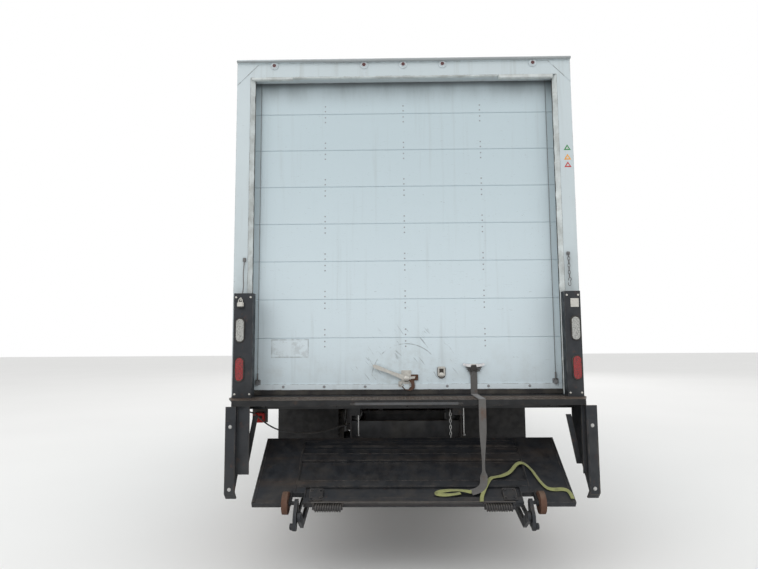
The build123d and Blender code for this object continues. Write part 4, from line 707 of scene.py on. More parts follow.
# Face that the latch parts stand on, middles of the white clip and of the pull strap
DOOR_SKIN = DOOR_FACE - 0.0003
CLIP_X = 0.268
STRAP_X = 0.511


def flat(bm, points, depth, thick):
    """Plate of points in x and z, standing off the door by a depth."""
    add_slab(bm, [(px, DOOR_SKIN - depth, pz) for px, pz in points], BACK, thick)


def latch_details():
    """Lever with its link and keeper, and the rusty hook beside it."""
    y = DOOR_SKIN
    bm = bmesh.new()
    # Back plate with pressed rim and four bolts
    add_box(bm, (-0.036, y - 0.007, 1.258), (0.040, y, 1.382), 0.003)
    for dx, dz in ((-0.024, -0.05), (0.027, -0.05), (-0.024, 0.05), (0.027, 0.05)):
        add_bolt(bm, (0.002 + dx, y - 0.007, 1.32 + dz), BACK, 0.011, 0.006)
    # Lever: tapering flat bar, thicker grip, pivot boss
    tip = Vector((-0.241, y - 0.026, 1.416))
    pivot = Vector((LEVER_PIVOT[0], y - 0.022, LEVER_PIVOT[1]))
    along = (tip - pivot).normalized()
    across = Vector((along.z, 0, -along.x))
    rows = [(0.0, 0.021), (0.05, 0.016), (0.13, 0.011), (0.17, 0.012)]
    rows += [(0.22, 0.015), (0.255, 0.014), (0.264, 0.008)]
    low = [pivot + along * a - across * w for a, w in rows]
    high = [pivot + along * a + across * w for a, w in rows]
    add_slab(bm, low + high[::-1], BACK, 0.009)
    boss = [(0, 0.026), (0.016, 0.026), (0.02, 0.022), (0.032, 0.02), (0.036, 0.012)]
    add_lathe(bm, pivot - BACK * 0.02, BACK, boss)
    # Link to the hook and the keeper beside it
    flat(bm, [(0.0, 1.334), (0.0, 1.312), (0.066, 1.322), (0.07, 1.338)], 0.018, 0.006)
    add_box(bm, (-0.058, y - 0.016, 1.258), (-0.03, y, 1.300), 0.003)
    add_lathe(bm, (-0.044, y - 0.01, 1.281), BACK, [(0, 0.011), (0.014, 0.011), (0.018, 0.008)], 16)
    from_bmesh("latch_lever", bm, "root", worn_zinc)

    bm = bmesh.new()
    # Rusty hook plate beside the lever, its tongue going down over the strip
    add_box(bm, (0.036, y - 0.012, 1.306), (0.092, y, 1.350), 0.003)
    tongue = [(0.012, 1.318), (0.060, 1.306), (0.066, 1.262), (0.048, 1.236)]
    tongue += [(0.018, 1.236), (0.024, 1.252), (0.040, 1.262), (0.036, 1.286)]
    flat(bm, tongue, 0.014, 0.010)
    wire = ((-0.03, 0.012, 1.262), (-0.01, 0.02, 1.240), (0.03, 0.022, 1.232), (0.065, 0.016, 1.252))
    add_tube(bm, [(px, y - depth, pz) for px, depth, pz in wire], 0.0035)
    from_bmesh("latch_hook", bm, "root", rust_steel)


def clip_details():
    """White clip to the right of the latch, and the bracket that the strap hangs from."""
    y = DOOR_SKIN
    bm = bmesh.new()
    for dx in (-0.022, 0.022):
        add_box(bm, (CLIP_X + dx - 0.006, y - 0.013, 1.338), (CLIP_X + dx + 0.006, y, 1.402), 0.003)
    add_box(bm, (CLIP_X - 0.028, y - 0.016, 1.392), (CLIP_X + 0.028, y, 1.408), 0.004)
    add_lathe(bm, (CLIP_X, y, 1.345), BACK, [(0, 0.02), (0.01, 0.02), (0.015, 0.012)], 20)
    from_bmesh("door_clip", bm, "root", worn_zinc)

    bm = bmesh.new()
    # Dark pad under the clip, bent up round its foot: a dark outline round the clip, partly painted shadow
    # and partly grime
    pad = 0.031
    bow = [(CLIP_X + pad * cos(a), 1.350 + pad * sin(a)) for a in (pi + pi * k / 10 for k in range(11))]
    flat(bm, bow + [(CLIP_X + pad, 1.400), (CLIP_X - pad, 1.400)], 0.004, 0.0035)
    from_bmesh("clip_pad_painted_shadow", bm, "root", seal_rubber)

    bm = bmesh.new()
    # Strap bracket: two chrome wings on the CAD bar, a dark slot between them
    wing = ((-0.026, 1.424), (0.036, 1.432), (0.040, 1.418), (0.006, 1.404), (-0.026, 1.400))
    for side in (-1, 1):
        x = STRAP_X + side * 0.043
        flat(bm, [(x + side * dx, pz) for dx, pz in wing], 0.0095, 0.006)
        add_bolt(bm, (x + side * 0.02, y - 0.015, 1.420), BACK, 0.010, 0.005)
    from_bmesh("strap_bracket", bm, "root", chrome)

    # Webbing gathered in three folds on each side of the bracket
    bm = bmesh.new()
    for side in (-1, 1):
        for k, (z, reach) in enumerate(((1.396, 0.052), (1.384, 0.046), (1.372, 0.038))):
            fall = k * 0.002
            top = z - fall
            tongue = ((0, z - 0.004), (reach, top + 0.004), (reach - 0.004, top + 0.0125), (0, z + 0.005))
            flat(bm, [(STRAP_X + side * (0.010 + dx), pz) for dx, pz in tongue], 0.0135, 0.0025 + fall)
    add_box(bm, (STRAP_X - 0.022, y - 0.0215, 1.376), (STRAP_X + 0.022, y - 0.0135, 1.418), 0.004)
    from_bmesh("strap_gather", bm, "root", dark_webbing)

    bm = bmesh.new()
    loop = [(0.492 + 0.010 * sin(a), y - 0.013, 1.366 + 0.026 * cos(a)) for a in turns(16)]
    add_tube(bm, loop, 0.0032, 6, closed=True)
    add_box(bm, (0.478, y - 0.012, 1.384), (0.508, y, 1.402), 0.002)
    from_bmesh("strap_ring", bm, "root", cable_grey)


door_details()
latch_details()
clip_details()


# Rear frame: seals, drip rail, lamps, triangles
SEAL_LOW, HEADER_Z = 1.21, 3.655
TRIANGLE_X = 1.249


def wavy(seed, count, size):
    """Small repeatable offsets, for trim that has bent or peeled."""
    draw = random.Random(seed)
    return [draw.uniform(-size, size) for _ in range(count)]


def seal_strip(name, x, side, seed, peel):
    """Cream jamb strip, its free lip wavy and peeling."""
    count = 60
    offsets = wavy(seed, count, 0.0022)
    torn = wavy(seed + 1, count, 1.0)
    bm = bmesh.new()
    rows = []
    for k in range(count):
        z = SEAL_LOW + (HEADER_Z - SEAL_LOW) * k / (count - 1)
        lift = peel * max(0, torn[k]) ** 3
        lip = side * (0.030 + offsets[k] + lift * 0.6)
        rows.append([
            bm.verts.new((x, REAR + 0.004, z)),
            bm.verts.new((x - side * 0.002, REAR - 0.004 - offsets[k], z)),
            bm.verts.new((x - lip * 0.5, REAR + 0.012 - lift, z)),
            bm.verts.new((x - lip, REAR + 0.030 - lift * 1.6, z)),
            bm.verts.new((x - lip + side * 0.004, REAR + 0.034 - lift * 1.6, z)),
            bm.verts.new((x, REAR + 0.018, z)),
        ])
    bridge(bm, rows)
    from_bmesh(name, bm, "root", seal_cream, 50)


def triangle(name, half, low, high, depth, thick, material):
    """Blank triangle on the right post."""
    bm = bmesh.new()
    y = REAR - depth
    corners = [(TRIANGLE_X - half, y, low), (TRIANGLE_X + half, y, low), (TRIANGLE_X, y, high)]
    add_slab(bm, corners, BACK, thick)
    from_bmesh(name, bm, "root", material, 0)


def frame_details():
    """Jamb and header seals, the drip rail over the header, and the coloured triangles."""
    opening = BODY_HALF - 0.1055
    seal_strip("jamb_seal_left", -opening, -1, 3, 0.006)
    seal_strip("jamb_seal_right", opening, 1, 8, 0.03)
    # Black beads against the door along both free lips: partly rubber, partly painted shade of the gap
    # between seal and door
    bm = bmesh.new()
    for side in (-1, 1):
        bead = side * (opening - 0.0315)
        add_rod(bm, (bead, REAR + 0.037, SEAL_LOW), (bead, REAR + 0.037, HEADER_Z - 0.003), 0.0032, 8)
    from_bmesh("jamb_beads_gap_shade", bm, "root", seal_rubber)

    # Header seal in three runs: from x, to x, how far it hangs and stands out
    bm = bmesh.new()
    head = HEADER_Z + 0.003
    runs = ((-1.185, -0.86, 0.020, 0.0012), (0.74, 1.16, 0.026, 0.003), (-0.86, 0.74, 0.010, 0))
    for x0, x1, drop, out in runs:
        add_box(bm, (x0, REAR - 0.003 - out, head - drop), (x1, REAR + 0.028, head - 0.0004), 0.003)
    from_bmesh("header_seal", bm, "root", seal_cream)

    # Drip rail: rounded cap over the header, bent down thinner at the left
    bm = bmesh.new()
    count = 70
    rows = []
    for k in range(count):
        t = k / (count - 1)
        x = -BODY_HALF + 2 * BODY_HALF * t
        high = 0.014 + 0.016 * min(1, t * 3.2)
        sag = 0.002 * sin(t * 23) + 0.004 * sin(t * 5.1)
        middle = ROOF - 0.0155 - sag * 0.4
        arc = (pi * j / 8 for j in range(9))
        ring = [(x, REAR - 0.018 - 0.012 * sin(a), middle - high * 0.36 * cos(a)) for a in arc]
        ring += [(x, REAR - 0.001, ROOF - 0.004), (x, REAR - 0.001, ROOF - 0.022)]
        rows.append([bm.verts.new(p) for p in ring])
    bridge(bm, rows)
    from_bmesh("drip_rail", bm, "root", drip_grey, 60)

    # Triangles, each with a pale one in its middle
    rows = (("green", 3.069, tri_green), ("amber", 2.994, tri_amber), ("red", 2.935, tri_red))
    for name, z, colour in rows:
        low, high = z - 0.02, z + 0.024
        triangle("triangle_" + name, 0.027, low, high, 0, 0.0008, colour)
        low, high = low + 0.008, high - 0.014
        triangle("triangle_middle_" + name, 0.013, low, high, 0.0008, 0.0005, seal_cream)


def lamp_details():
    """White rings of the marker lamps and rubber grommets of the oval ones."""
    bm = bmesh.new()
    rows = [(0, 0.030), (0.003, 0.0295), (0.006, 0.0275), (0.0075, 0.0225), (0.005, 0.0215)]
    for x in MARKER_X:
        add_lathe(bm, (x, REAR - 0.003, MARKER_Z), BACK, rows, 28)
    from_bmesh("marker_rings", bm, "root", strip_white)

    bm = bmesh.new()
    section = ((0.038, 0.092, 0.090), (0.036, 0.090, 0.0975), (0.031, 0.085, 0.0975), (0.0282, 0.0822, 0.090))
    for x in (-1.217, 1.229):
        for z in (1.405, 1.688):
            rings = [oval(x, z, wide, high, REAR - depth) for wide, high, depth in section]
            bridge(bm, [[bm.verts.new(p) for p in ring] for ring in rings], loop=True)
    from_bmesh("lamp_grommets", bm, "root", seal_rubber, 50)


frame_details()
lamp_details()


# Lift gate and what hangs at the rear
def middle_of(name):
    """Middle of a CAD node's box."""
    low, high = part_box(name)
    return (low + high) / 2


# Hinge of the folded platform, and the slope that it lies at
HINGE = middle_of("gate_rollers")
FOLD = radians(33.6)


def fold(x, along, out):
    """Point of the folded platform: x from the gate's middle, along from the hinge, out of its face."""
    y = HINGE.y + along * cos(FOLD) - out * sin(FOLD)
    return Vector((HINGE.x + x, y, HINGE.z + along * sin(FOLD) + out * cos(FOLD)))


# Directions out of its face and up along it, the face's distance from the hinge, and the springs' radii
FACE_OUT = Vector((0, -sin(FOLD), cos(FOLD)))
FACE_UP = Vector((0, cos(FOLD), sin(FOLD)))
FACE_AT = 0.004
WIRE = 0.0052
COIL = 0.0225


def fold_box(bm, x0, x1, start, end, proud, bevel):
    """Box lying on the folded platform's face and standing proud of it."""
    middle = fold((x0 + x1) / 2, (start + end) / 2, FACE_AT + (proud - 0.001) / 2)
    half = Vector((abs(x1 - x0) / 2, (end - start) / 2, (proud + 0.001) / 2))
    add_box(bm, middle - half, middle + half, bevel, Matrix.Rotation(FOLD, 3, "X"))


def gate_details():
    """Lips and brackets of the platform, its far hinges, heel bar, springs, pins and roller rims."""
    bm = bmesh.new()
    # Lips beside the pressed channels, and the smooth wing plates' edges
    for along in (0.134, 0.182, 0.372, 0.436, 0.506, 0.516):
        fold_box(bm, -0.772, 0.772, along, along + 0.006, 0.003, 0.001)
    for side in (-1, 1):
        fold_box(bm, side * 0.786, side * 0.790, 0.09, 0.585, 0.0035, 0.001)
        fold_box(bm, side * 1.045, side * 1.064, 0.0, 0.596, 0.004, 0.0015)
        # Bolted bracket plate on the face near each shackle
        fold_box(bm, side * 0.60, side * 0.69, 0.012, 0.115, 0.007, 0.002)
        for dx, along in ((0.615, 0.03), (0.675, 0.03), (0.615, 0.097), (0.675, 0.097)):
            add_bolt(bm, fold(side * dx, along, FACE_AT + 0.006), FACE_OUT, 0.017, 0.010)
    from_bmesh("platform_lips", bm, "gate_platform", gate_steel)

    # Hinge barrels between platform and flap along the far edge
    bm = bmesh.new()
    at = (0.5955, FACE_AT - 0.034)
    for x in (-0.93, -0.56, -0.19, 0.19, 0.56, 0.93):
        add_rod(bm, fold(x - 0.055, *at), fold(x - 0.002, *at), 0.0085, 14)
        add_rod(bm, fold(x + 0.002, *at), fold(x + 0.055, *at), 0.0085, 14)
    from_bmesh("flap_hinges", bm, "gate_platform", worn_steel)

    # Heel: bright rubbed edge
    bm = bmesh.new()
    heel = (0.0045, FACE_AT - 0.0075)
    add_rod(bm, fold(-0.672, *heel), fold(0.672, *heel), 0.0095)
    from_bmesh("heel_tube", bm, "gate_platform", spring_steel)

    # Torsion springs: wire coils on the CAD drums, with a tail to the platform
    bm = bmesh.new()
    drum_y, drum_z = fold(0, -0.030, -0.012)[1:]
    coils, steps = 11, 16
    count = coils * steps
    for side in (-1, 1):
        points = []
        for k in range(count + 1):
            a = 2 * pi * coils * k / count
            x = HINGE.x + side * (0.470 + 0.176 * k / count)
            points.append((x, drum_y + COIL * cos(a), drum_z + COIL * sin(a)))
        add_tube(bm, points, WIRE, 7)
        tail = fold(side * 0.482, 0.085, -0.030)
        add_tube(bm, [points[0], (Vector(points[0]) + tail) / 2, tail], WIRE, 7)
    from_bmesh("torsion_coils", bm, "gate_platform", spring_steel, 60)

    # Heads of the pins through the rollers
    bm = bmesh.new()
    for side in (-1, 1):
        at = HINGE + Vector((side * 0.8635, 0, 0))
        add_lathe(bm, at, (side, 0, 0), [(0, 0.017), (0.003, 0.018), (0.006, 0.014)], 20)
    from_bmesh("pin_heads", bm, "shackles", rust_steel)

    # Raised rims on both faces of the rollers: radius and thickness
    bm = bmesh.new()
    for side in (-1, 1):
        for x in (0.8203, 0.8577):
            at = HINGE + Vector((side * x, 0, 0))
            for radius, thick in ((0.069, 0.0008), (0.030, 0.0012)):
                add_tube(bm, circle(at, radius, 40), thick, 6, closed=True)
    from_bmesh("roller_rings", bm, "shackles", rust_steel)


def sill_details():
    """Sill plate: raised bar, grips, bolts and tread; dock posts' plates, bolts and gussets."""
    lip_y = REAR - 0.2505
    bar_low, bar_high = 1.162, 1.180
    bm = bmesh.new()
    add_box(bm, (-0.37, lip_y - 0.004, bar_low), (0.35, lip_y + 0.004, bar_high), 0.002)
    for x in (-0.385, 0.365):
        for k in range(7):
            near = x - 0.016 + k * 0.0048
            low, high = (near, lip_y - 0.006, bar_low + 0.002), (near + 0.0025, lip_y, bar_high - 0.002)
            add_box(bm, low, high, 0.0006)
    from_bmesh("sill_bar", bm, "root", bar_grey)

    bm = bmesh.new()
    for x in (-1.12, -0.98, -0.78, -0.52, -0.26, 0.0, 0.26, 0.52, 0.78, 0.98, 1.12):
        add_lathe(bm, (x, REAR - 0.055, 1.1965), UP, [(0, 0.011), (0.0022, 0.0105), (0.003, 0.007)], 14)
    # Raised tread bars of the plate
    for row in range(5):
        for k in range(46):
            x = -1.15 + k * 0.05 + (row % 2) * 0.025
            y = REAR - 0.222 + row * 0.035
            turn = Matrix.Rotation(radians(45 if (k + row) % 2 else -45), 3, "Z")
            add_box(bm, (x - 0.012, y - 0.0022, 1.1968), (x + 0.012, y + 0.0022, 1.1986), 0.0006, turn)
    from_bmesh("sill_tread", bm, "root", sill_steel)

    # Rub plates on the faces of the dock posts, and their bolts
    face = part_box("dock_bumpers")[0].y
    posts = ((-1, 1.192, 1.264), (1, 1.222, 1.296))
    bm = bmesh.new()
    for side, near, far in posts:
        low, high = (side * (near + 0.006), face - 0.0025, 0.56), (side * (far - 0.006), face + 0.001, 1.06)
        add_box(bm, low, high, 0.002)
    from_bmesh("dock_bolts", bm, "root", post_black)
    bm = bmesh.new()
    for side, near, far in posts:
        for z in (1.02, 0.60):
            add_bolt(bm, (side * (near + far) / 2, face - 0.002, z), BACK, 0.018, 0.009)
    from_bmesh("dock_bolt_heads", bm, "root", zinc)

    # Slanted gussets inboard of the posts, from the sill down to the web
    bm = bmesh.new()
    y = REAR - 0.14
    for side, inner in ((-1, 1.10), (1, 1.155)):
        shape = ((inner, 1.08), (inner - 0.035, 1.08), (inner + 0.028, 0.74), (inner + 0.062, 0.74))
        add_slab(bm, [(side * x, y, z) for x, z in shape], AHEAD, 0.012)
    from_bmesh("dock_gussets", bm, "root", post_black)


def add_chain(bm, x, y, top, links, pitch, wide, high, wire):
    """Chain hanging down, its links turned in turn."""
    for k in range(links):
        z = top - k * pitch
        swing_x, swing_y = (wide, 0) if k % 2 else (0, wide)
        ring = [(x + swing_x * sin(a), y + swing_y * sin(a), z + high * cos(a)) for a in turns(12)]
        add_tube(bm, ring, wire, 6, closed=True)


def post_hangers():
    """Cable, chain and hook above the lamp boxes, the padlock, the blank plate and box screws."""
    bm = bmesh.new()
    x = -1.214
    droop = ((0, 0.008, 2.215), (-0.003, 0.022, 2.12), (0.002, 0.030, 2.02), (0, 0.045, 1.955))
    add_tube(bm, [(x + dx, REAR - depth, z) for dx, depth, z in droop], 0.0042)
    add_box(bm, (x - 0.012, REAR - 0.014, 2.205), (x + 0.012, REAR - 0.0002, 2.235), 0.003)
    x = 1.222
    add_chain(bm, x, REAR - 0.016, 2.235, 7, 0.026, 0.0075, 0.0165, 0.0026)
    # S-shaped hook at the chain's end
    bends = [pi * k / 8 for k in range(-6, 7)]
    hook = [(x + 0.010 * sin(a), REAR - 0.024 - 0.004 * cos(a), 2.052 + 0.012 * cos(a)) for a in bends]
    hook += [(x - 0.004 - 0.010 * sin(a), REAR - 0.028, 2.018 - 0.014 * cos(a)) for a in bends]
    add_tube(bm, hook, 0.003, 6)
    add_box(bm, (x - 0.012, REAR - 0.016, 2.238), (x + 0.012, REAR - 0.0002, 2.262), 0.003)
    from_bmesh("post_hangers", bm, "root", cable_grey)

    box_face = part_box("lamp_boxes")[0].y
    bm = bmesh.new()
    # Padlock on the left box with its shackle
    x, y, z = -1.214, box_face - 0.011, 1.878
    add_box(bm, (x - 0.024, y - 0.009, z - 0.028), (x + 0.024, y + 0.010, z + 0.018), 0.006)
    bow = [(x + 0.015 * cos(a), y, z + 0.018 + 0.024 * sin(a)) for a in (pi * k / 10 for k in range(11))]
    add_tube(bm, [(x + 0.015, y, z)] + bow + [(x - 0.015, y, z)], 0.0036, 8)
    add_box(bm, (x - 0.006, box_face - 0.007, z + 0.024), (x + 0.006, box_face + 0.001, z + 0.05), 0.002)
    # Blank plate on the right box
    add_box(bm, (1.198, box_face - 0.002, 1.842), (1.258, box_face + 0.001, 1.905), 0.001)
    head = [(0, 0.004), (0.002, 0.0035), (0.003, 0.002)]
    for plate_x in (1.204, 1.252):
        add_lathe(bm, (plate_x, box_face - 0.001, 1.873), BACK, head, 10)
    from_bmesh("padlock_and_plate", bm, "root", worn_zinc)
    low, high = (x - 0.0245, y - 0.0095, z - 0.0295), (x + 0.0245, y + 0.0105, z - 0.010)
    one_box("padlock_skirt", low, high, 0.006, trim_black)

    bm = bmesh.new()
    for x in (-1.249, -1.142, 1.173, 1.255):
        for z in (1.225, 1.93):
            add_lathe(bm, (x, box_face + 0.0005, z), BACK, [(0, 0.008), (0.003, 0.0075), (0.005, 0.004)], 12)
    from_bmesh("box_screws", bm, "root", worn_zinc)


def nurbs_curve(name, controls, steps):
    """Curve object data through control points, from its first point to its last."""
    curve = bpy.data.curves.new(name, "CURVE")
    curve.dimensions = "3D"
    curve.resolution_u = steps
    spline = curve.splines.new("NURBS")
    spline.points.add(len(controls) - 1)
    for point, where in zip(spline.points, controls):
        point.co = (*where, 1)
    spline.order_u = 3
    spline.use_endpoint_u = True
    return curve


def curve_points(curve):
    """Points along a curve without thickness, which is used up by this."""
    route = bpy.data.objects.new(curve.name, curve)
    read = bpy.data.meshes.new_from_object(route)
    points = [v.co.copy() for v in read.vertices]
    bpy.data.objects.remove(route)
    bpy.data.curves.remove(curve)
    bpy.data.meshes.remove(read)
    return points


def control_cable():
    """Black cable of the control box, down and inboard to the rail."""
    spots = (
        (-1.186, 0.050, 1.085), (-1.165, 0.058, 1.083), (-1.130, 0.085, 1.062), (-1.060, 0.120, 0.985),
        (-0.960, 0.165, 0.925), (-0.800, 0.215, 0.895), (-0.620, 0.265, 0.905), (-0.500, 0.300, 0.945),
        (-0.434, 0.310, 0.955),
    )
    curve = nurbs_curve("control_cable", [(x, REAR + y, z) for x, y, z in spots], 12)
    points = curve_points(curve.copy())
    thick = 0.011
    curve.bevel_depth = thick / 2
    curve.bevel_resolution = 3
    cable = place(bpy.data.objects.new("control_cable", curve), "root", trim_black)


def under_rear():
    """Red control box, rods and chain at the rails' ends, and the gate's near-black pump box, which also
    stands in for the shade under the body.
    """
    low, high = (-1.165, REAR + 0.150, 0.990), (-1.085, REAR + 0.205, 1.062)
    one_box("control_box", low, high, 0.006, tri_red)
    bm = bmesh.new()
    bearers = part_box("body_floor")[0].z
    add_box(bm, (-1.185, REAR + 0.206, 0.985), (-1.065, REAR + 0.211, bearers + 0.062), 0.002)
    add_lathe(bm, (-1.11, REAR + 0.151, 1.03), BACK, [(0, 0.013), (0.012, 0.012), (0.016, 0.008)], 18)
    from_bmesh("control_plate", bm, "root", trim_black)
    bm = bmesh.new()
    y = REAR + 0.30
    for x in (-0.372, 0.452):
        add_rod(bm, (x, y, 0.87), (x, y, 1.09), 0.006, 10)
        add_bolt(bm, (x, y, 0.875), -UP, 0.02, 0.012)
    add_chain(bm, 0.335, REAR + 0.16, 1.07, 9, 0.024, 0.007, 0.015, 0.0024)
    from_bmesh("rail_end_rods", bm, "root", zinc)

    # Pump box of the lift gate, hung between the rails from the bearers; near-black, it also stands in for
    # the shade under the body, hiding the lit floor beyond
    bm = bmesh.new()
    near, far = REAR + 0.60, REAR + 0.98
    top = bearers - 0.004
    add_box(bm, (-0.335, near, 0.845), (0.335, far, top - 0.014), 0.012)
    add_box(bm, (-0.342, near - 0.007, top - 0.034), (0.342, far + 0.007, top - 0.012), 0.004)
    for side in (-1, 1):
        x = side * 0.20
        add_box(bm, (x - 0.02, near + 0.03, top - 0.02), (x + 0.02, far - 0.03, top), 0.003)
        for z in (0.88, 1.02):
            add_bolt(bm, (side * 0.30, near - 0.0005, z), BACK, 0.017, 0.009)
    from_bmesh("pump_box_shade_block", bm, "root", chassis_black)


gate_details()
sill_details()
post_hangers()
under_rear()
control_cable()


# Straps: flat webbing along smooth routes through given points
def webbing(name, controls, wide, thick, facing, material, body):
    """Flat strap along a NURBS route; facing gives the direction that its face looks in at a point."""
    points = curve_points(nurbs_curve(name + "_route", controls, 10))
    count = len(points)
    normals = [Vector(facing(p)) for p in points]
    for _ in range(6):
        padded = [normals[0]] + normals + [normals[-1]]
        normals = [(a + b * 2 + c).normalized() for a, b, c in zip(padded, padded[1:], padded[2:])]
    # Half of the section's width and thickness: edges rounded, face slightly dished
    section = [(-1, -0.5), (-0.94, -1), (0.94, -1), (1, -0.5)]
    section += [(1, 0.5), (0.94, 1), (0, 0.8), (-0.94, 1), (-1, 0.5)]
    bm = bmesh.new()
    rows = []
    for i, p in enumerate(points):
        ahead = (points[min(i + 1, count - 1)] - points[max(i - 1, 0)]).normalized()
        out = (normals[i] - ahead * normals[i].dot(ahead)).normalized()
        across = ahead.cross(out)
        rows.append([bm.verts.new(p + across * u * wide / 2 + out * v * thick / 2) for u, v in section])
    bridge(bm, rows)
    return from_bmesh(name, bm, body, material, 60), points


def lime_strap(name, spots, out):
    """Lime strap lying on the platform, through spots: across it, and along from the hinge."""
    wide = 0.025

    def facing(p):
        swing = 0.30 * sin(23 * p.x + 0.6)
        return FACE_OUT + (FACE_UP + Vector((1, 0, 0))) * swing

    route = [fold(a, b, out) for a, b in spots]
    strap, path = webbing(name, route, wide, 0.002, facing, lime_webbing, "gate_platform")


def straps():
    """The grey pull strap from the door over the sill, and two lime straps on the platform."""
    x, wide = STRAP_X, 0.050
    door_y, sill_z, hang_y = REAR + 0.0989, 1.2018, REAR - 0.262
    controls = [
        (x, door_y, 1.400),
        (x, door_y, 1.300),
        (x, door_y, 1.2068),
        (x, door_y - 0.0005, sill_z + 0.0005),
        (x, door_y - 0.006, sill_z),
        (x, REAR - 0.08, sill_z),
        (x, hang_y + 0.008, sill_z),
        (x, hang_y, sill_z - 0.0005),
        (x, hang_y, sill_z - 0.010),
        (x, hang_y - 0.002, 1.02),
        (x, hang_y, 0.85),
        (x - 0.002, hang_y + 0.001, 0.73),
        fold(0.487, 0.160, 0.034),
        fold(0.478, 0.125, 0.014),
        fold(0.452, 0.098, 0.013),
        fold(0.420, 0.082, 0.013),
        fold(0.392, 0.074, 0.013),
    ]

    def grey_facing(p):
        if p.z > 1.208:
            return BACK
        if p.z > 1.195 and p.y > hang_y + 0.004:
            return (0, 0, 1)
        if p.z > 0.70:
            # Lower down it turns its edge to the rear
            return (1.7 * min(1, max(0, (1.0 - p.z) / 0.24)), -1, 0)
        return FACE_OUT

    strap, path = webbing("pull_strap_grey", controls, wide, 0.003, grey_facing, grey_webbing, "root")
    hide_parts("pull_strap")
    # Folded double beside the grey strap's end
    spots = (
        (0.392, 0.074), (0.350, 0.086), (0.290, 0.092), (0.225, 0.088), (0.176, 0.078), (0.150, 0.066),
        (0.176, 0.054), (0.225, 0.050), (0.285, 0.058), (0.318, 0.066),
    )
    lime_strap("lime_tail", spots, 0.0145)
    # Over the heel and across the platform to its right edge
    spots = (
        (0.448, -0.003), (0.452, 0.030), (0.474, 0.082), (0.505, 0.145), (0.540, 0.200), (0.575, 0.206),
        (0.613, 0.214), (0.655, 0.232), (0.690, 0.258), (0.725, 0.305), (0.755, 0.335), (0.790, 0.336),
        (0.815, 0.305), (0.840, 0.262), (0.855, 0.205), (0.880, 0.140), (0.905, 0.103), (0.950, 0.094),
        (1.000, 0.100), (1.035, 0.088), (1.048, 0.050), (1.048, 0.018),
    )
    lime_strap("lime_strap", spots, 0.0135)


straps()


# Tyres: modelled carcass with a cut tread, in place of the plain CAD rings
TREAD_HALF = 0.104
TREAD_DROP = 0.0075
GROOVE_DEEP = 0.013
GROOVE_HALF = 0.0045
CUT_DEEP = 0.0125
TWIN_HALF = 0.17


def tread_profile(radius, grooves):
    """Points of the tread from its left edge to its right: distance from the middle, and radius."""
    edges = [-TREAD_HALF] + [g + way * GROOVE_HALF for g in grooves for way in (-1, 1)] + [TREAD_HALF]
    ribs = list(zip(edges[::2], edges[1::2]))

    def crown(x):
        return radius - TREAD_DROP * (x / TREAD_HALF) ** 2

    tread = []
    for k, (a, b) in enumerate(ribs):
        tread += [(x, crown(x)) for x in (a, (a + b) / 2, b)]
        if k < len(ribs) - 1:
            floor = crown(b) - GROOVE_DEEP
            tread += [(b + 0.0012, floor), (ribs[k + 1][0] - 0.0012, floor)]
    return tread


def tyre_piece(name, node_name, offsets, body, rib):
    """Tyre or twin tyres with grooves and blocks; rib makes the front's straight ribs."""
    low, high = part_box(node_name)
    hub = (low + high) / 2
    radius = (high.z - low.z) / 2 - 0.0008
    wall = [
        (-0.1094, 0.2925), (-0.1094, 0.3075), (-0.1165, 0.319), (-0.1265, 0.338), (-0.1272, 0.3395),
        (-0.1350, 0.365), (-0.1395, 0.400), (-0.1385, 0.430), (-0.133, 0.458), (-0.1325, 0.4595),
        (-0.1285, 0.474), (-0.1265, 0.4765), (-0.1235, radius - 0.034), (-0.113, radius - 0.016),
    ]
    tread = tread_profile(radius, (-0.062, 0.0, 0.062) if rib else (-0.066, 0.066))
    profile = wall + tread + [(-x, r) for x, r in wall[::-1]]
    shoulders = (len(wall) - 1, len(wall) + len(tread))
    steps = 84 if rib else 224
    bm = bmesh.new()
    for offset in offsets:
        rings = []
        for k, a in enumerate(turns(steps)):
            ring = []
            for j, (x, r) in enumerate(profile):
                on_tread = shoulders[0] < j < shoulders[1] and r > radius - 0.02 and abs(x) > 0.03
                if not rib and on_tread and k % 4 == 0:
                    r -= CUT_DEEP
                if rib and j in shoulders and k % 2:
                    r -= 0.004
                skew = 0.0 if rib else 0.012 * (1 if x > 0 else -1) * min(1, abs(x) / 0.1)
                spot = (hub.x + offset + x, hub.y + r * cos(a + skew), hub.z + r * sin(a + skew))
                ring.append(bm.verts.new(spot))
            rings.append(ring)
        bridge(bm, rings, loop=True)
    obj = from_bmesh(name, bm, body, tyre_rubber, 28)
    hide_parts(node_name)


twins = (-TWIN_HALF, TWIN_HALF)
for _, word in SIDES:
    tyre_piece("front_tread_" + word, "front_tyre_" + word, [0], "front_wheel_" + word, True)
    tyre_piece("rear_tread_" + word, "rear_tyres_" + word, twins, "rear_wheels_" + word, False)


# Load body outside
RIVET = [(0, 0.0055), (0.0016, 0.0045), (0.0024, 0.002)]
RAIL_RIVET = [(0, 0.006), (0.0016, 0.005), (0.0024, 0.002)]
POST_PITCH = 0.6096
RAIL_RIVET_PITCH = 0.076
TAPE_PITCH = 0.262


def spread(low, high, count):
    """Places at even steps, both ends included."""
    return [low + k * (high - low) / (count - 1) for k in range(count)]


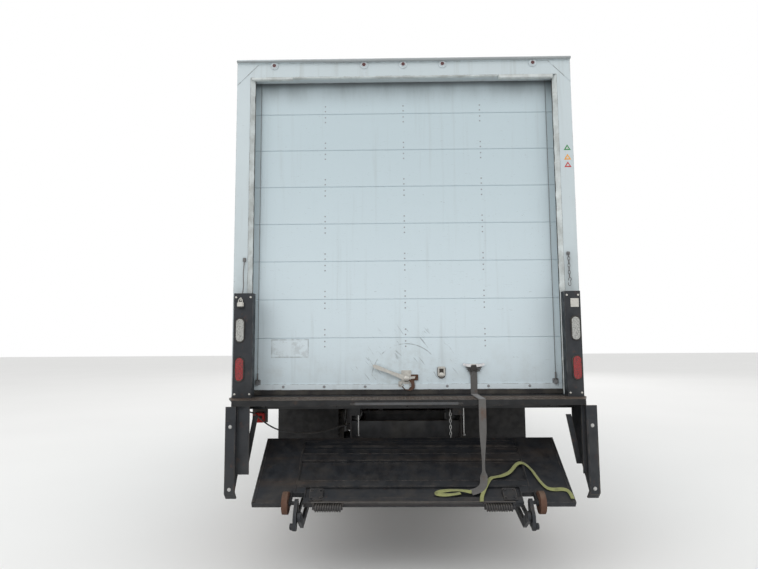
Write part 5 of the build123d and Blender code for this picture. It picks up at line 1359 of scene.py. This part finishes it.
def side_details(side, word):
    """Rails, rivets, seams, marker lamps and reflective bars of one side, named by a word."""
    low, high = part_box("body_sides")
    y0, y1 = low.y, high.y
    middle = (y0 + y1) / 2
    x = side * high.x
    out = (side, 0, 0)

    # Rails stand a few mm out of the skin, within the box of the mirrors
    bm = bmesh.new()
    rails = (
        (low.z, low.z + 0.085, 0.0045), (low.z + 0.085, low.z + 0.098, 0.008),
        (high.z - 0.11, high.z - 0.002, 0.0045), (high.z - 0.122, high.z - 0.11, 0.008),
    )
    for z0, z1, proud in rails:
        add_box(bm, (x - side * 0.001, y0 + 0.004, z0), (x + side * proud, y1 + 0.002, z1), 0.0015)
    from_bmesh("side_rails_" + word, bm, "root", rail_alloy)

    bm = bmesh.new()
    for y in spread(y0 + 0.05, y1 - 0.05, int((y1 - y0) / POST_PITCH) + 1):
        for z in spread(low.z + 0.13, high.z - 0.15, 30):
            add_lathe(bm, (x, y, z), out, RIVET, 6)
    for y in spread(y0 + 0.03, y1 - 0.03, int((y1 - y0) / RAIL_RIVET_PITCH)):
        for z in (low.z + 0.03, high.z - 0.035):
            add_lathe(bm, (x + side * 0.0045, y, z), out, RAIL_RIVET, 6)
    from_bmesh("side_rivets_" + word, bm, "root", rivet_grey)

    # Seams between sheets
    bm = bmesh.new()
    for y in spread(y0, y1, 4)[1:3]:
        near = (x - side * 0.0005, y - 0.019, low.z + 0.1)
        far = (x + side * 0.0014, y + 0.019, high.z - 0.124)
        add_box(bm, near, far, 0.0006)
    from_bmesh("side_seams_" + word, bm, "root", body_white)

    # Marker lamps low and high at the ends, and low in the middle
    levels = (low.z + 0.048, high.z - 0.058)
    places = {dark_lens: [(y0 + 0.25, z) for z in levels]}
    places[amber_lens] = [(middle, levels[0])] + [(y1 - 0.12, z) for z in levels]
    bm = bmesh.new()
    for y, z in places[dark_lens] + places[amber_lens]:
        add_lathe(bm, (x + side * 0.004, y, z), out, [(0, 0.031), (0.004, 0.031), (0.008, 0.026)], 22)
    from_bmesh("marker_bases_" + word, bm, "root", seal_rubber)
    rows = [(0, 0.0215), (0.006, 0.021), (0.011, 0.016), (0.0135, 0.008), (0.014, 0.002)]
    for tint, spots in places.items():
        bm = bmesh.new()
        for y, z in spots:
            add_lathe(bm, (x + side * 0.008, y, z), out, rows, 22)
        from_bmesh("side_markers_%s_%s" % (word, tint.name), bm, "root", tint)

    # Reflective bars along the bottom rail, red and white in turn, blank
    for tint, first in ((red_tape, 0), (white_tape, 1)):
        bm = bmesh.new()
        for k in range(first, 24, 2):
            y = y0 + 0.62 + k * TAPE_PITCH
            if y + 0.25 < y1 - 0.2 and not (y - 0.05 < middle < y + 0.3):
                add_box(bm, (x, y, low.z + 0.042), (x + side * 0.0052, y + 0.155, low.z + 0.068), 0.0003)
        from_bmesh("side_tape_%s_%s" % (word, tint.name), bm, "root", tint, 0)


def front_details():
    """Rivets, seams and marker lamps of the load body's front wall, and the bows in its roof."""
    skin = BODY_HALF
    seam_x = 0.62
    low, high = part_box("body_front")
    front_y = high.y
    bm = bmesh.new()
    for side in (-1, 1):
        for z in spread(low.z + 0.08, high.z - 0.06, 40):
            for x in (side * (skin - 0.235), side * seam_x):
                add_lathe(bm, (x, front_y, z), AHEAD, RIVET, 6)
    from_bmesh("front_rivets", bm, "root", rivet_grey)
    bm = bmesh.new()
    for x in (-seam_x, seam_x):
        near, far = (x - 0.02, front_y - 0.001, low.z + 0.02), (x + 0.02, front_y + 0.0012, high.z - 0.01)
        add_box(bm, near, far, 0.0005)
    near, far = (-skin + 0.25, front_y - 0.001, low.z + 0.002), (skin - 0.25, front_y + 0.004, low.z + 0.09)
    add_box(bm, near, far, 0.0015)
    from_bmesh("front_seams", bm, "root", body_white)

    roof_low, roof_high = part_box("body_roof")
    base = [(0, 0.030), (0.004, 0.030), (0.006, 0.022)]
    lamp = [(0.006, 0.021), (0.012, 0.019), (0.017, 0.012), (0.018, 0.003)]
    for name, rows, tint, slot in (
        ("front_marker_bases", base, seal_rubber, "black_plastic"),
        ("front_markers", lamp, amber_lens, "lens"),
    ):
        bm = bmesh.new()
        for x in (-0.16, 0, 0.16, -0.98, 0.98):
            add_lathe(bm, (x, front_y, roof_low.z - 0.05), AHEAD, rows, 20)
        from_bmesh(name, bm, "root", tint)
    bm = bmesh.new()
    for y in spread(roof_low.y, roof_high.y, 13)[1:-1]:
        near = (-skin + 0.07, y - 0.012, roof_high.z - 0.003)
        far = (skin - 0.07, y + 0.012, roof_high.z - 0.0004)
        add_box(bm, near, far, 0.001)
    from_bmesh("roof_bows", bm, "root", body_white)


for side, word in SIDES:
    side_details(side, word)
front_details()


# Cab, hood and running gear outside
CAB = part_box("cab_shell")
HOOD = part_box("hood")
# Back wall of the cab, front wall of the load body
CAB_BACK = 2.5915
BODY_FRONT = 2.48153
# Half width of the cab up to its belt line, and the lean of its sides above
CAB_SKIN = 1.020
BELT_Z = 1.760
LEAN = radians(6.0)
DOOR_REAR, DOOR_FRONT = 2.7015, 3.5765
MIRROR_X = 1.230
MOULDING_LOW, MOULDING_HIGH = 1.335, 1.375
MOULDING_PROUD = 0.008


def wheel_furniture(side, word, front):
    """Nuts, hub cap and valve stem of one wheel or twin wheel."""
    end = "front" if front else "rear"
    hub = middle_of(("front_rim_" if front else "rear_rims_") + word)
    body = ("front_wheel_" if front else "rear_wheels_") + word
    disc = 1.092 if front else 0.925
    out = Vector((side, 0, 0))

    def spot(x, radius, a):
        return Vector((side * x, hub.y + radius * cos(a), hub.z + radius * sin(a)))

    bm = bmesh.new()
    for a in turns(10, 0.16):
        start = spot(disc + 0.014, 0.1425, a)
        add_lathe(bm, start, out, [(0, 0.019), (0.004, 0.019), (0.0045, 0.0155)], 16)
        add_lathe(bm, start, out, [(0.004, 0.0155), (0.024, 0.0155), (0.027, 0.0125)], 6)
        add_lathe(bm, start, out, [(0.026, 0.0095), (0.040, 0.0095), (0.042, 0.0075)], 12)
    from_bmesh("nuts_%s_%s" % (word, end), bm, body, rust_steel)

    bm = bmesh.new()
    if front:
        tip, flange = disc + 0.075, 0.018
        rows = [(-0.004, 0.0845), (0.004, 0.083), (0.014, 0.076), (0.020, 0.060)]
        rows += [(0.022, 0.020), (0.022, 0.004)]
    else:
        tip, flange = disc + 0.130, 0.010
        rows = [(-0.001, 0.083), (0.006, 0.083), (0.010, 0.078), (0.012, 0.030), (0.012, 0.004)]
    add_lathe(bm, spot(tip, 0, 0), out, rows, 32)
    for a in turns(8):
        add_bolt(bm, spot(tip + flange, 0.066, a), out, 0.012, 0.008)
    from_bmesh("hub_%s_%s" % (word, end), bm, body, cast)

    bm = bmesh.new()
    a = 0.7
    root = spot(disc + (0.03 if front else 0.05), 0.262, a)
    bent = root + Vector((side * 0.03, -0.02 * cos(a), -0.02 * sin(a)))
    add_tube(bm, [root, (root + bent) / 2, bent, bent + Vector((side * 0.022, -0.002, 0))], 0.0045, 8)
    from_bmesh("valve_%s_%s" % (word, end), bm, body, zinc)


def door_furniture(side, word):
    """Handle, window gasket, moulding and mirror faces of a cab door."""
    body = "cab_door_" + word
    skin = side * CAB_SKIN
    # Pull handle on a dished plate, and its lock
    bm = bmesh.new()
    hy, hz = DOOR_REAR + 0.10, 1.66
    add_box(bm, (skin, hy - 0.085, hz - 0.035), (skin + side * 0.004, hy + 0.085, hz + 0.035), 0.0018)
    grip = ((0.003, -0.068), (0.022, -0.06), (0.028, -0.04), (0.028, 0.04), (0.022, 0.06), (0.003, 0.068))
    add_tube(bm, [(skin + side * out, hy + dy, hz) for out, dy in grip], 0.0075, 10)
    lock = [(0, 0.013), (0.004, 0.012), (0.006, 0.008)]
    add_lathe(bm, (skin, hy + 0.055, hz - 0.06), (side, 0, 0), lock, 20)
    from_bmesh("door_handle_" + word, bm, body, trim_black)
    bm = bmesh.new()
    add_tube(bm, window_outline(side, 0.006), 0.008, 8, closed=True)
    from_bmesh("window_gasket_" + word, bm, body, seal_rubber)
    low = (skin, DOOR_REAR + 0.03, MOULDING_LOW)
    high = (skin + side * MOULDING_PROUD, DOOR_FRONT - 0.09, MOULDING_HIGH)
    one_box("door_moulding_" + word, low, high, 0.003, trim_black, body)

    # Mirror face set in a rim, with a convex mirror below it
    glass_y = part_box("mirror_" + word)[0].y
    x = side * MIRROR_X
    mirrors = ((2.185, 0.078, 0.125, 0.0012), (1.985, 0.076, 0.052, 0.003))
    bm = bmesh.new()
    for z, wide, high, thick in mirrors:
        add_slab(bm, round_rect(x, z, wide, high, 0.03, glass_y - 0.0005), BACK, thick)
    from_bmesh("mirror_faces_" + word, bm, body, mirror_face, 0)
    bm = bmesh.new()
    for z, wide, high, _ in mirrors:
        rim = round_rect(x, z, wide + 0.004, high + 0.004, 0.032, glass_y - 0.001)
        add_tube(bm, rim, 0.003, 8, closed=True)
    from_bmesh("mirror_rims_" + word, bm, body, trim_black)


def round_rect(x, z, half_x, half_z, radius, y, steps=6):
    """Points of a rounded rectangle across the truck."""
    points = []
    for cx, cz, start in ((1, 1, 0), (-1, 1, 90), (-1, -1, 180), (1, -1, 270)):
        middle_x = x + cx * (half_x - radius)
        middle_z = z + cz * (half_z - radius)
        for k in range(steps + 1):
            a = radians(start + 90 * k / steps)
            points.append((middle_x + radius * cos(a), y, middle_z + radius * sin(a)))
    return points


def window_outline(side, out):
    """Window edge of the cab door on the leaning upper skin."""
    rear = DOOR_REAR + 0.08
    corners = ((rear, 1.79), (DOOR_FRONT - 0.075, 1.79), (DOOR_FRONT - 0.195, 2.405), (rear, 2.405))
    points = []
    radius = 0.04
    for i, corner in enumerate(corners):
        a, b = Vector(corners[i - 1]), Vector(corners[(i + 1) % 4])
        c = Vector(corner)
        into, away = (a - c).normalized(), (b - c).normalized()
        for k in range(7):
            t = k / 6
            p = c + into * radius * (1 - t) ** 2 + away * radius * t**2
            points.append((side * (CAB_SKIN - tan(LEAN) * max(0, p.y - BELT_Z) + out), p.x, p.y))
    return points


def screen_details():
    """Gasket and wipers on the sloping plane of the windscreen."""
    # Depth of the cab at its belt line and at its roof
    cowl, header = 1.330, 0.880
    slope = (cowl - header) / (2.640 - BELT_Z)
    normal = Vector((0, 1, slope)).normalized()
    up = Vector((0, -slope, 1)).normalized()
    middle = Vector((0, CAB_BACK + cowl - slope * 0.44, 2.2))

    def screen(x, v, out=0.0):
        return middle + Vector((x, 0, 0)) + up * v + normal * out

    bm = bmesh.new()
    outline = round_rect(0, 0, 0.79, 0.38, 0.09, 0, 8)
    add_tube(bm, [screen(p[0], p[2], 0.001) for p in outline], 0.011, 8, closed=True)
    from_bmesh("screen_gasket", bm, "root", seal_rubber)

    bm = bmesh.new()
    for x0, x1 in ((-0.10, -0.62), (0.46, -0.02)):
        pivot = screen(x0, -0.415, 0.012)
        cap = [(0, 0.020), (0.016, 0.020), (0.022, 0.014), (0.03, 0.010)]
        add_lathe(bm, pivot - normal * 0.014, normal, cap, 18)
        tip = screen((x0 + x1) / 2, -0.30, 0.030)
        add_tube(bm, [pivot + normal * 0.016, (pivot + tip) / 2 + normal * 0.022, tip], 0.0065, 8)
        a, b = screen(x1, -0.325, 0.006), screen(x0 - 0.01, -0.255, 0.006)
        half = (a + b) / 2
        add_tube(bm, [a, half + normal * 0.002, b], 0.0045, 6)
        add_tube(bm, [a + normal * 0.010, half + normal * 0.024, b + normal * 0.010], 0.004, 6)
    from_bmesh("wipers", bm, "root", trim_black)


def cab_details():
    """Roof lamps and mouldings of the cab, its rear window, and the hood's rubber latches."""
    base = [(0, 0.036), (0.006, 0.035), (0.010, 0.030)]
    lamp = [(0.010, 0.029), (0.020, 0.027), (0.032, 0.019), (0.037, 0.007)]
    for name, rows, tint, slot in (
        ("cab_lamp_bases", base, seal_rubber, "black_plastic"),
        ("cab_lamps", lamp, amber_lens, "lens"),
    ):
        bm = bmesh.new()
        for x in (-0.62, -0.17, 0, 0.17, 0.62):
            add_lathe(bm, (x, CAB_BACK + 0.72, CAB[1].z - 0.002), UP, rows)
        from_bmesh(name, bm, "root", tint)

    # Mouldings behind and ahead of the doors
    bm = bmesh.new()
    for side in (-1, 1):
        for y0, y1 in ((CAB_BACK + 0.005, 2.690), (3.592, 3.912)):
            low = (side * CAB_SKIN, y0, MOULDING_LOW)
            high = (side * (CAB_SKIN + MOULDING_PROUD), y1, MOULDING_HIGH)
            add_box(bm, low, high, 0.003)
    from_bmesh("cab_mouldings", bm, "root", trim_black)

    bm = bmesh.new()
    add_slab(bm, round_rect(0, 2.13, 0.40, 0.19, 0.06, CAB_BACK), BACK, 0.002)
    from_bmesh("rear_window", bm, "root", rear_glass, 0)
    bm = bmesh.new()
    add_tube(bm, round_rect(0, 2.13, 0.405, 0.195, 0.065, CAB_BACK - 0.0035), 0.009, 8, closed=True)
    from_bmesh("rear_window_gasket", bm, "root", seal_rubber)

    bm = bmesh.new()
    for side in (-1, 1):
        x = side * 0.832
        add_box(bm, (x - side * 0.010, 3.905, 1.50), (x + side * 0.012, 3.985, 1.535), 0.004)
        pull = ((0.010, 3.912), (0.018, 3.94), (0.010, 3.978))
        add_tube(bm, [(x + side * out, y, 1.517) for out, y in pull], 0.008, 8)
    from_bmesh("hood_latches", bm, "hood", seal_rubber)


def grille_details():
    """Bright surround of the grille, and the bars and insect screen behind its slats."""
    low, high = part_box("grille")
    middle = middle_of("grille")
    bm = bmesh.new()
    outline = round_rect(0, middle.z, 0.432, (high.z - low.z) / 2 + 0.002, 0.05, HOOD[1].y + 0.0005)
    add_tube(bm, outline, 0.007, 8, closed=True)
    from_bmesh("grille_surround", bm, "hood", chrome)

    bm = bmesh.new()
    y = low.y + 0.006
    for x in spread(-0.40, 0.40, 41):
        add_box(bm, (x - 0.0008, y, low.z + 0.028), (x + 0.0008, y + 0.0016, high.z - 0.028))
    for z in spread(low.z + 0.03, high.z - 0.03, 19):
        add_box(bm, (-0.405, y - 0.002, z - 0.0008), (0.405, y - 0.0004, z + 0.0008))
    from_bmesh("grille_mesh", bm, "hood", trim_black, 0)
    near = (low.x + 0.012, low.y - 0.0045, low.z + 0.012)
    far = (high.x - 0.012, low.y - 0.0015, high.z - 0.012)
    one_box("grille_screen", near, far, 0.001, flap_rubber, "hood")


def headlamp_details():
    """Bezels, reflector bowls and side indicators of the headlamps."""
    front_y = HOOD[1].y
    z = middle_of("headlamps").z
    bm = bmesh.new()
    for side in (-1, 1):
        outline = round_rect(side * 0.9025, z, 0.186, 0.083, 0.042, front_y - 0.001)
        add_tube(bm, outline, 0.0055, 8, closed=True)
    from_bmesh("lamp_bezels", bm, "hood", trim_black)
    bm = bmesh.new()
    for side in (-1, 1):
        for x, r in ((0.835, 0.062), (0.965, 0.05)):
            rows = [(0, r), (0.002, r), (0.003, r * 0.9), (0.003, r * 0.2)]
            add_lathe(bm, (side * x, front_y + 0.0003, z), AHEAD, rows, 28)
    from_bmesh("lamp_bowls", bm, "hood", chrome)
    bm = bmesh.new()
    for side in (-1, 1):
        add_slab(bm, round_rect(side * 1.052, z, 0.022, 0.062, 0.015, front_y + 0.0003), AHEAD, 0.003)
    from_bmesh("front_indicators", bm, "hood", amber_lens, 0)


def bumper_details():
    """Bolts on the bowed front bumper, and its blank plate."""
    low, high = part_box("front_bumper")
    half_wide, bow = 1.150, 0.130
    radius = (half_wide**2 + bow**2) / (2 * bow)

    def face_y(x):
        return high.y - radius + (radius**2 - x**2) ** 0.5

    bm = bmesh.new()
    for side in (-1, 1):
        for x in (0.36, 0.44):
            for z in (low.z + 0.07, high.z - 0.07):
                at = (side * x, face_y(x) - 0.003, z)
                add_lathe(bm, at, AHEAD, [(0, 0.014), (0.006, 0.013), (0.010, 0.006)], 14)
    from_bmesh("bumper_bolts", bm, "root", zinc)
    near, far = (-0.155, face_y(0.16) - 0.006, low.z + 0.055), (0.155, face_y(0) - 0.0005, low.z + 0.215)
    one_box("blank_plate", near, far, 0.002, body_white)


def band(bm, x, z, half_x, half_z, radius, y0, y1, thick=0.003):
    """Strap round a rounded box, from y0 to y1 along the truck."""
    section = ((y0, 0.0), (y0, thick), (y1, thick), (y1, 0.0))
    rings = [round_rect(x, z, half_x + grow, half_z + grow, radius + grow, y) for y, grow in section]
    bridge(bm, [[bm.verts.new(p) for p in ring] for ring in rings], loop=True)


def tank_details():
    """Straps and cap of the fuel tank."""
    straps = (2.80, 3.36)
    bm = bmesh.new()
    for y in straps:
        band(bm, -0.736, 0.69, 0.264, 0.21, 0.11, y, y + 0.055)
    from_bmesh("tank_straps", bm, "root", chrome)
    bm = bmesh.new()
    for y in straps:
        add_box(bm, (-1.006, y + 0.012, 0.66), (-0.999, y + 0.043, 0.72), 0.002)
        add_rod(bm, (-1.0045, y + 0.0275, 0.63), (-1.0045, y + 0.0275, 0.75), 0.005, 10)
    cap = [(-0.03, 0.05), (0.012, 0.05), (0.014, 0.056), (0.034, 0.056), (0.040, 0.050), (0.041, 0.01)]
    add_lathe(bm, (-0.90, 3.47, 0.878), (-0.45, 0, 0.9), cap, 28)
    from_bmesh("tank_cap", bm, "root", zinc)


def step_details():
    """Tread strips of the steps on both sides."""
    bm = bmesh.new()
    for side, y0, y1, levels in ((-1, 2.8315, 3.4515, (0.54, 0.78)), (1, 2.8915, 3.4915, (0.55, 0.78))):
        for z in levels:
            for k in range(5):
                x = side * (1.012 + k * 0.011)
                add_box(bm, (x, y0 + 0.02, z), (x + side * 0.005, y1 - 0.02, z + 0.003), 0.0008)
            for y in spread(y0 + 0.03, y1 - 0.03, 24):
                add_box(bm, (side * 1.008, y - 0.003, z), (side * 1.066, y + 0.003, z + 0.0042), 0.0008)
    from_bmesh("step_treads", bm, "root", worn_steel)


def battery_details():
    """Latches and rims of the battery box."""
    bm = bmesh.new()
    for y in (2.96, 3.43):
        add_box(bm, (0.996, y - 0.018, 0.62), (1.007, y + 0.018, 0.70), 0.003)
        add_tube(bm, [(1.006, y, 0.64), (1.016, y, 0.66), (1.014, y, 0.69)], 0.005, 8)
    from_bmesh("battery_latches", bm, "root", zinc)
    bm = bmesh.new()
    for y in (2.9065, 3.4965):
        band(bm, 0.716, 0.71, 0.284, 0.19, 0.024, y, y + 0.020, 0.004)
    from_bmesh("battery_rims", bm, "root", chassis_black)


def under_details():
    """Straps and ends of the air tanks, rings of the silencer and its pipe, bolts of the mud flaps."""
    bm = bmesh.new()
    tank_z = 0.70
    for behind in (2.2, 2.5):
        y = BODY_FRONT - behind
        for x in (-0.60, -0.86):
            add_tube(bm, circle((x, y, tank_z), 0.1215, 40), 0.004, 6, closed=True)
        end = [(-0.004, 0.116), (0.002, 0.108), (0.010, 0.075), (0.013, 0.02)]
        add_lathe(bm, (-0.992, y, tank_z), (-1, 0, 0), end, 32)
    from_bmesh("air_tank_straps", bm, "root", chassis_black)

    bm = bmesh.new()
    pipe_z = 0.690
    for behind in (1.138, 0.262):
        ring = circle((0.640, BODY_FRONT - behind, pipe_z), 0.126, 40, across=True)
        add_tube(bm, ring, 0.006, 6, closed=True)
    add_tube(bm, circle((1.150, BODY_FRONT - 1.11, pipe_z), 0.051, 30), 0.004, 6, closed=True)
    from_bmesh("exhaust_rings", bm, "root", rust_steel)

    bm = bmesh.new()
    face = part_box("mud_flaps")[0].y
    for side in (-1, 1):
        for k in range(6):
            add_bolt(bm, (side * (0.70 + k * 0.10), face, 1.015), BACK, 0.018, 0.010)
        add_box(bm, (side * 0.68, face + 0.016, 0.338), (side * 1.24, face + 0.0245, 0.366), 0.002)
    from_bmesh("flap_bolts", bm, "root", zinc)


for side, word in SIDES:
    wheel_furniture(side, word, True)
    wheel_furniture(side, word, False)
for side, word in SIDES:
    door_furniture(side, word)
screen_details()
cab_details()
grille_details()
headlamp_details()
bumper_details()
tank_details()
step_details()
battery_details()
under_details()


# Inside the cab: padded seats in place of the CAD blocks, dials and pedals
PUFF = 0.010
SEAT_Y = CAB_BACK + 0.110


def cushion(name, corners_low, corners_high, rows, seed, pleats):
    """Stuffed block: four corners below, four above, its faces swollen and slightly creased."""
    draw = random.Random(seed)
    low = [Vector(c) for c in corners_low]
    high = [Vector(c) for c in corners_high]
    middle = (low[0] + low[2] + high[0] + high[2]) / 4
    nu, nv, nw = rows
    wave = [draw.uniform(0, 2 * pi) for _ in range(4)]

    def at(u, v, w):
        """Point of the block, each coordinate from 0 to 1."""
        a = low[0].lerp(low[1], u).lerp(low[3].lerp(low[2], u), v)
        b = high[0].lerp(high[1], u).lerp(high[3].lerp(high[2], u), v)
        p = a.lerp(b, w)
        soft = [1 - abs(2 * t - 1) ** 3 for t in (u, v)]
        edge = sorted(abs(2 * t - 1) for t in (u, v, w))
        pull = 0.11 * max(0.0, edge[1] - 0.72) / 0.28 * max(0.0, edge[2] - 0.9) / 0.1
        p = p.lerp(middle, pull * 0.35)
        if w not in (0.0, 1.0):
            return p
        normal = ((a - b) if w < 0.5 else (b - a)).normalized()
        swell = PUFF * soft[0] ** 0.5 * soft[1] ** 0.5
        if w == 1.0:
            swell -= 0.010 * max(0.0, cos(2 * pi * pleats * u)) ** 12 * soft[1] ** 0.4 * soft[0] ** 0.3
        return p + normal * (swell + 0.002 * sin(9 * u + wave[0]) * sin(7 * v + wave[1]))

    bm = bmesh.new()
    grid = {}

    def vert(i, j, k):
        if (i, j, k) not in grid:
            grid[i, j, k] = bm.verts.new(at(i / nu, j / nv, k / nw))
        return grid[i, j, k]

    # Faces of the block's six sides: two axes run along a side, the third is fixed at one of its ends
    for one, other, fixed in ((0, 1, 2), (0, 2, 1), (1, 2, 0)):
        for i in range(rows[one]):
            for j in range(rows[other]):
                for end in (0, rows[fixed]):
                    corners = []
                    for di, dj in ((0, 0), (1, 0), (1, 1), (0, 1)):
                        key = [end] * 3
                        key[one] = i + di
                        key[other] = j + dj
                        corners.append(vert(*key))
                    bm.faces.new(corners)
    return from_bmesh(name, bm, "root", seat_cloth, 70)


def seat_set():
    """Driver's seat and twin passenger bench: padded cushions on boxed bases."""
    for word, x, width, pleats in (("driver", -0.48, 0.50, 4), ("bench", 0.43, 0.74, 6)):
        x0, x1 = x - width / 2, x + width / 2

        def across(near, far):
            """Four corners of a side, from the y and z of its two edges."""
            return [(x0, *near), (x1, *near), (x1, *far), (x0, *far)]

        y0, y1 = SEAT_Y + 0.150, SEAT_Y + 0.640
        below, above = across((y0, 1.455), (y1, 1.475)), across((y0, 1.565), (y1, 1.590))
        base = cushion("cushion_" + word, below, above, (36, 20, 6), 11, pleats)
        below = across((SEAT_Y + 0.145, 1.56), (SEAT_Y + 0.012, 2.195))
        above = across((SEAT_Y + 0.262, 1.585), (SEAT_Y + 0.115, 2.205))
        rest = cushion("backrest_" + word, below, above, (36, 24, 6), 12, pleats)
        bm = bmesh.new()
        add_box(bm, (x0 + 0.03, SEAT_Y + 0.15, 1.1605), (x1 - 0.03, SEAT_Y + 0.52, 1.452), 0.012)
        add_box(bm, (x0 + 0.01, SEAT_Y + 0.14, 1.435), (x1 - 0.01, SEAT_Y + 0.60, 1.460), 0.006)
        stand = from_bmesh("seat_base_" + word, bm, "root", trim_black)
        for piece in (base, rest, stand):
            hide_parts("seats")


def cab_inside():
    """Instrument cluster, vents, dials, pedals and lever."""
    face_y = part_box("dashboard")[0].y
    low, high = (-0.72, face_y + 0.024, 1.694), (-0.24, face_y + 0.20, 1.752)
    one_box("cluster_hood", low, high, 0.018, trim_black)
    # Dials lean back a little: x, and radius of the bezel
    dials = ((-0.60, 0.045), (-0.48, 0.05), (-0.36, 0.045))
    lean = (0, -1, 0.12)
    bm = bmesh.new()
    for x, r in dials:
        rows = [(0, r), (0.004, r), (0.006, r * 0.9), (0.002, r * 0.86), (0.002, 0.004)]
        add_lathe(bm, (x, face_y + 0.006, 1.63), lean, rows, 28)
    for x in (-0.85, -0.12, 0.1, 0.55, 0.8):
        add_box(bm, (x - 0.06, face_y + 0.001, 1.60), (x + 0.06, face_y + 0.02, 1.66), 0.006)
        for k in range(4):
            z = 1.607 + k * 0.013
            add_box(bm, (x - 0.052, face_y - 0.003, z), (x + 0.052, face_y + 0.004, z + 0.003), 0.001)
    from_bmesh("dash_vents", bm, "root", trim_black)
    bm = bmesh.new()
    for x, bezel in dials:
        r = bezel - 0.007
        add_lathe(bm, (x, face_y - 0.0005, 1.63), lean, [(0, r), (0.0012, r * 0.98), (0.0014, 0.002)], 28)
    from_bmesh("dial_faces", bm, "root", trim_grey)
    bm = bmesh.new()
    tilt = Matrix.Rotation(radians(-25), 3, "X")
    for x, wide in ((-0.60, 0.055), (-0.44, 0.045), (-0.30, 0.045)):
        add_box(bm, (x - wide / 2, 3.60, 1.24), (x + wide / 2, 3.622, 1.33), 0.005, tilt)
        add_rod(bm, (x, 3.615, 1.28), (x, 3.72, 1.45), 0.008, 10)
    # Gear lever with its knob and boot
    knob = [(0, 0.016), (0.01, 0.026), (0.03, 0.031), (0.05, 0.026), (0.062, 0.010)]
    boot = [(0, 0.09), (0.015, 0.085), (0.03, 0.06), (0.05, 0.035), (0.08, 0.018)]
    add_tube(bm, [(-0.10, 3.30, 1.165), (-0.11, 3.28, 1.35), (-0.13, 3.20, 1.55)], 0.009, 10)
    add_lathe(bm, (-0.13, 3.20, 1.55), (-0.003, -0.03, 0.08), knob, 20)
    add_lathe(bm, (-0.10, 3.30, 1.161), UP, boot)
    from_bmesh("pedals_and_lever", bm, "root", trim_black)


seat_set()
cab_inside()


# Light, floor and background
def make_stage():
    """Pale floor, four soft lamps, and a world that is white to the camera."""
    world = bpy.data.worlds.new("world")
    bpy.context.scene.world = world
    world.use_nodes = True
    tree = world.node_tree
    tree.nodes.clear()
    path = tree.nodes.new("ShaderNodeLightPath")
    seen = path.outputs["Is Camera Ray"]
    for name in ("Is Glossy Ray", "Is Transmission Ray"):
        joined = tree.nodes.new("ShaderNodeMath")
        joined.operation = "MAXIMUM"
        tree.links.new(seen, joined.inputs[0])
        tree.links.new(path.outputs[name], joined.inputs[1])
        seen = joined.outputs[0]
    lights = []
    for strength in (0.86, 1.0):
        light = tree.nodes.new("ShaderNodeBackground")
        light.inputs["Strength"].default_value = strength
        light.inputs["Color"].default_value = (1, 1, 1, 1)
        lights.append(light)
    mixed = tree.nodes.new("ShaderNodeMixShader")
    tree.links.new(seen, mixed.inputs[0])
    tree.links.new(lights[0].outputs[0], mixed.inputs[1])
    tree.links.new(lights[1].outputs[0], mixed.inputs[2])
    out = tree.nodes.new("ShaderNodeOutputWorld")
    tree.links.new(mixed.outputs[0], out.inputs[0])

    floor = bpy.data.meshes.new("floor")
    reach = 60
    corners = [(-reach, -reach, 0), (reach, -reach, 0), (reach, reach, 0), (-reach, reach, 0)]
    floor.from_pydata(corners, [], [(0, 1, 2, 3)])
    ground = bpy.data.objects.new("floor", floor)
    bpy.context.scene.collection.objects.link(ground)
    pale = Shader("floor_pale", Roughness=0.9)
    pale.set(Base_Color=pale.mix(pale.noise(0.4, 3), (0.82, 0.82, 0.81), (0.86, 0.86, 0.85)))
    floor.materials.append(pale.material)

    rows = (
        ("key", (-9, REAR - 11, 11), (0, REAR + 1, 1.6), 9, 640),
        ("fill", (10, REAR - 9, 6), (0, REAR + 2, 1.5), 8, 200),
        ("front", (4, REAR + 22, 10), (0, REAR + 8, 1.5), 9, 420),
        ("top", (0, REAR + 5, 14), (0, REAR + 5, 0), 12, 260),
    )
    for name, place_at, target, size, power in rows:
        data = bpy.data.lights.new(name, "AREA")
        data.size = size
        data.energy = power
        lamp = bpy.data.objects.new(name, data)
        lamp.location = place_at
        lamp.rotation_euler = (Vector(target) - Vector(place_at)).to_track_quat("-Z", "Y").to_euler()
        bpy.context.scene.collection.objects.link(lamp)
    bpy.context.scene.view_settings.view_transform = "Standard"


make_stage()
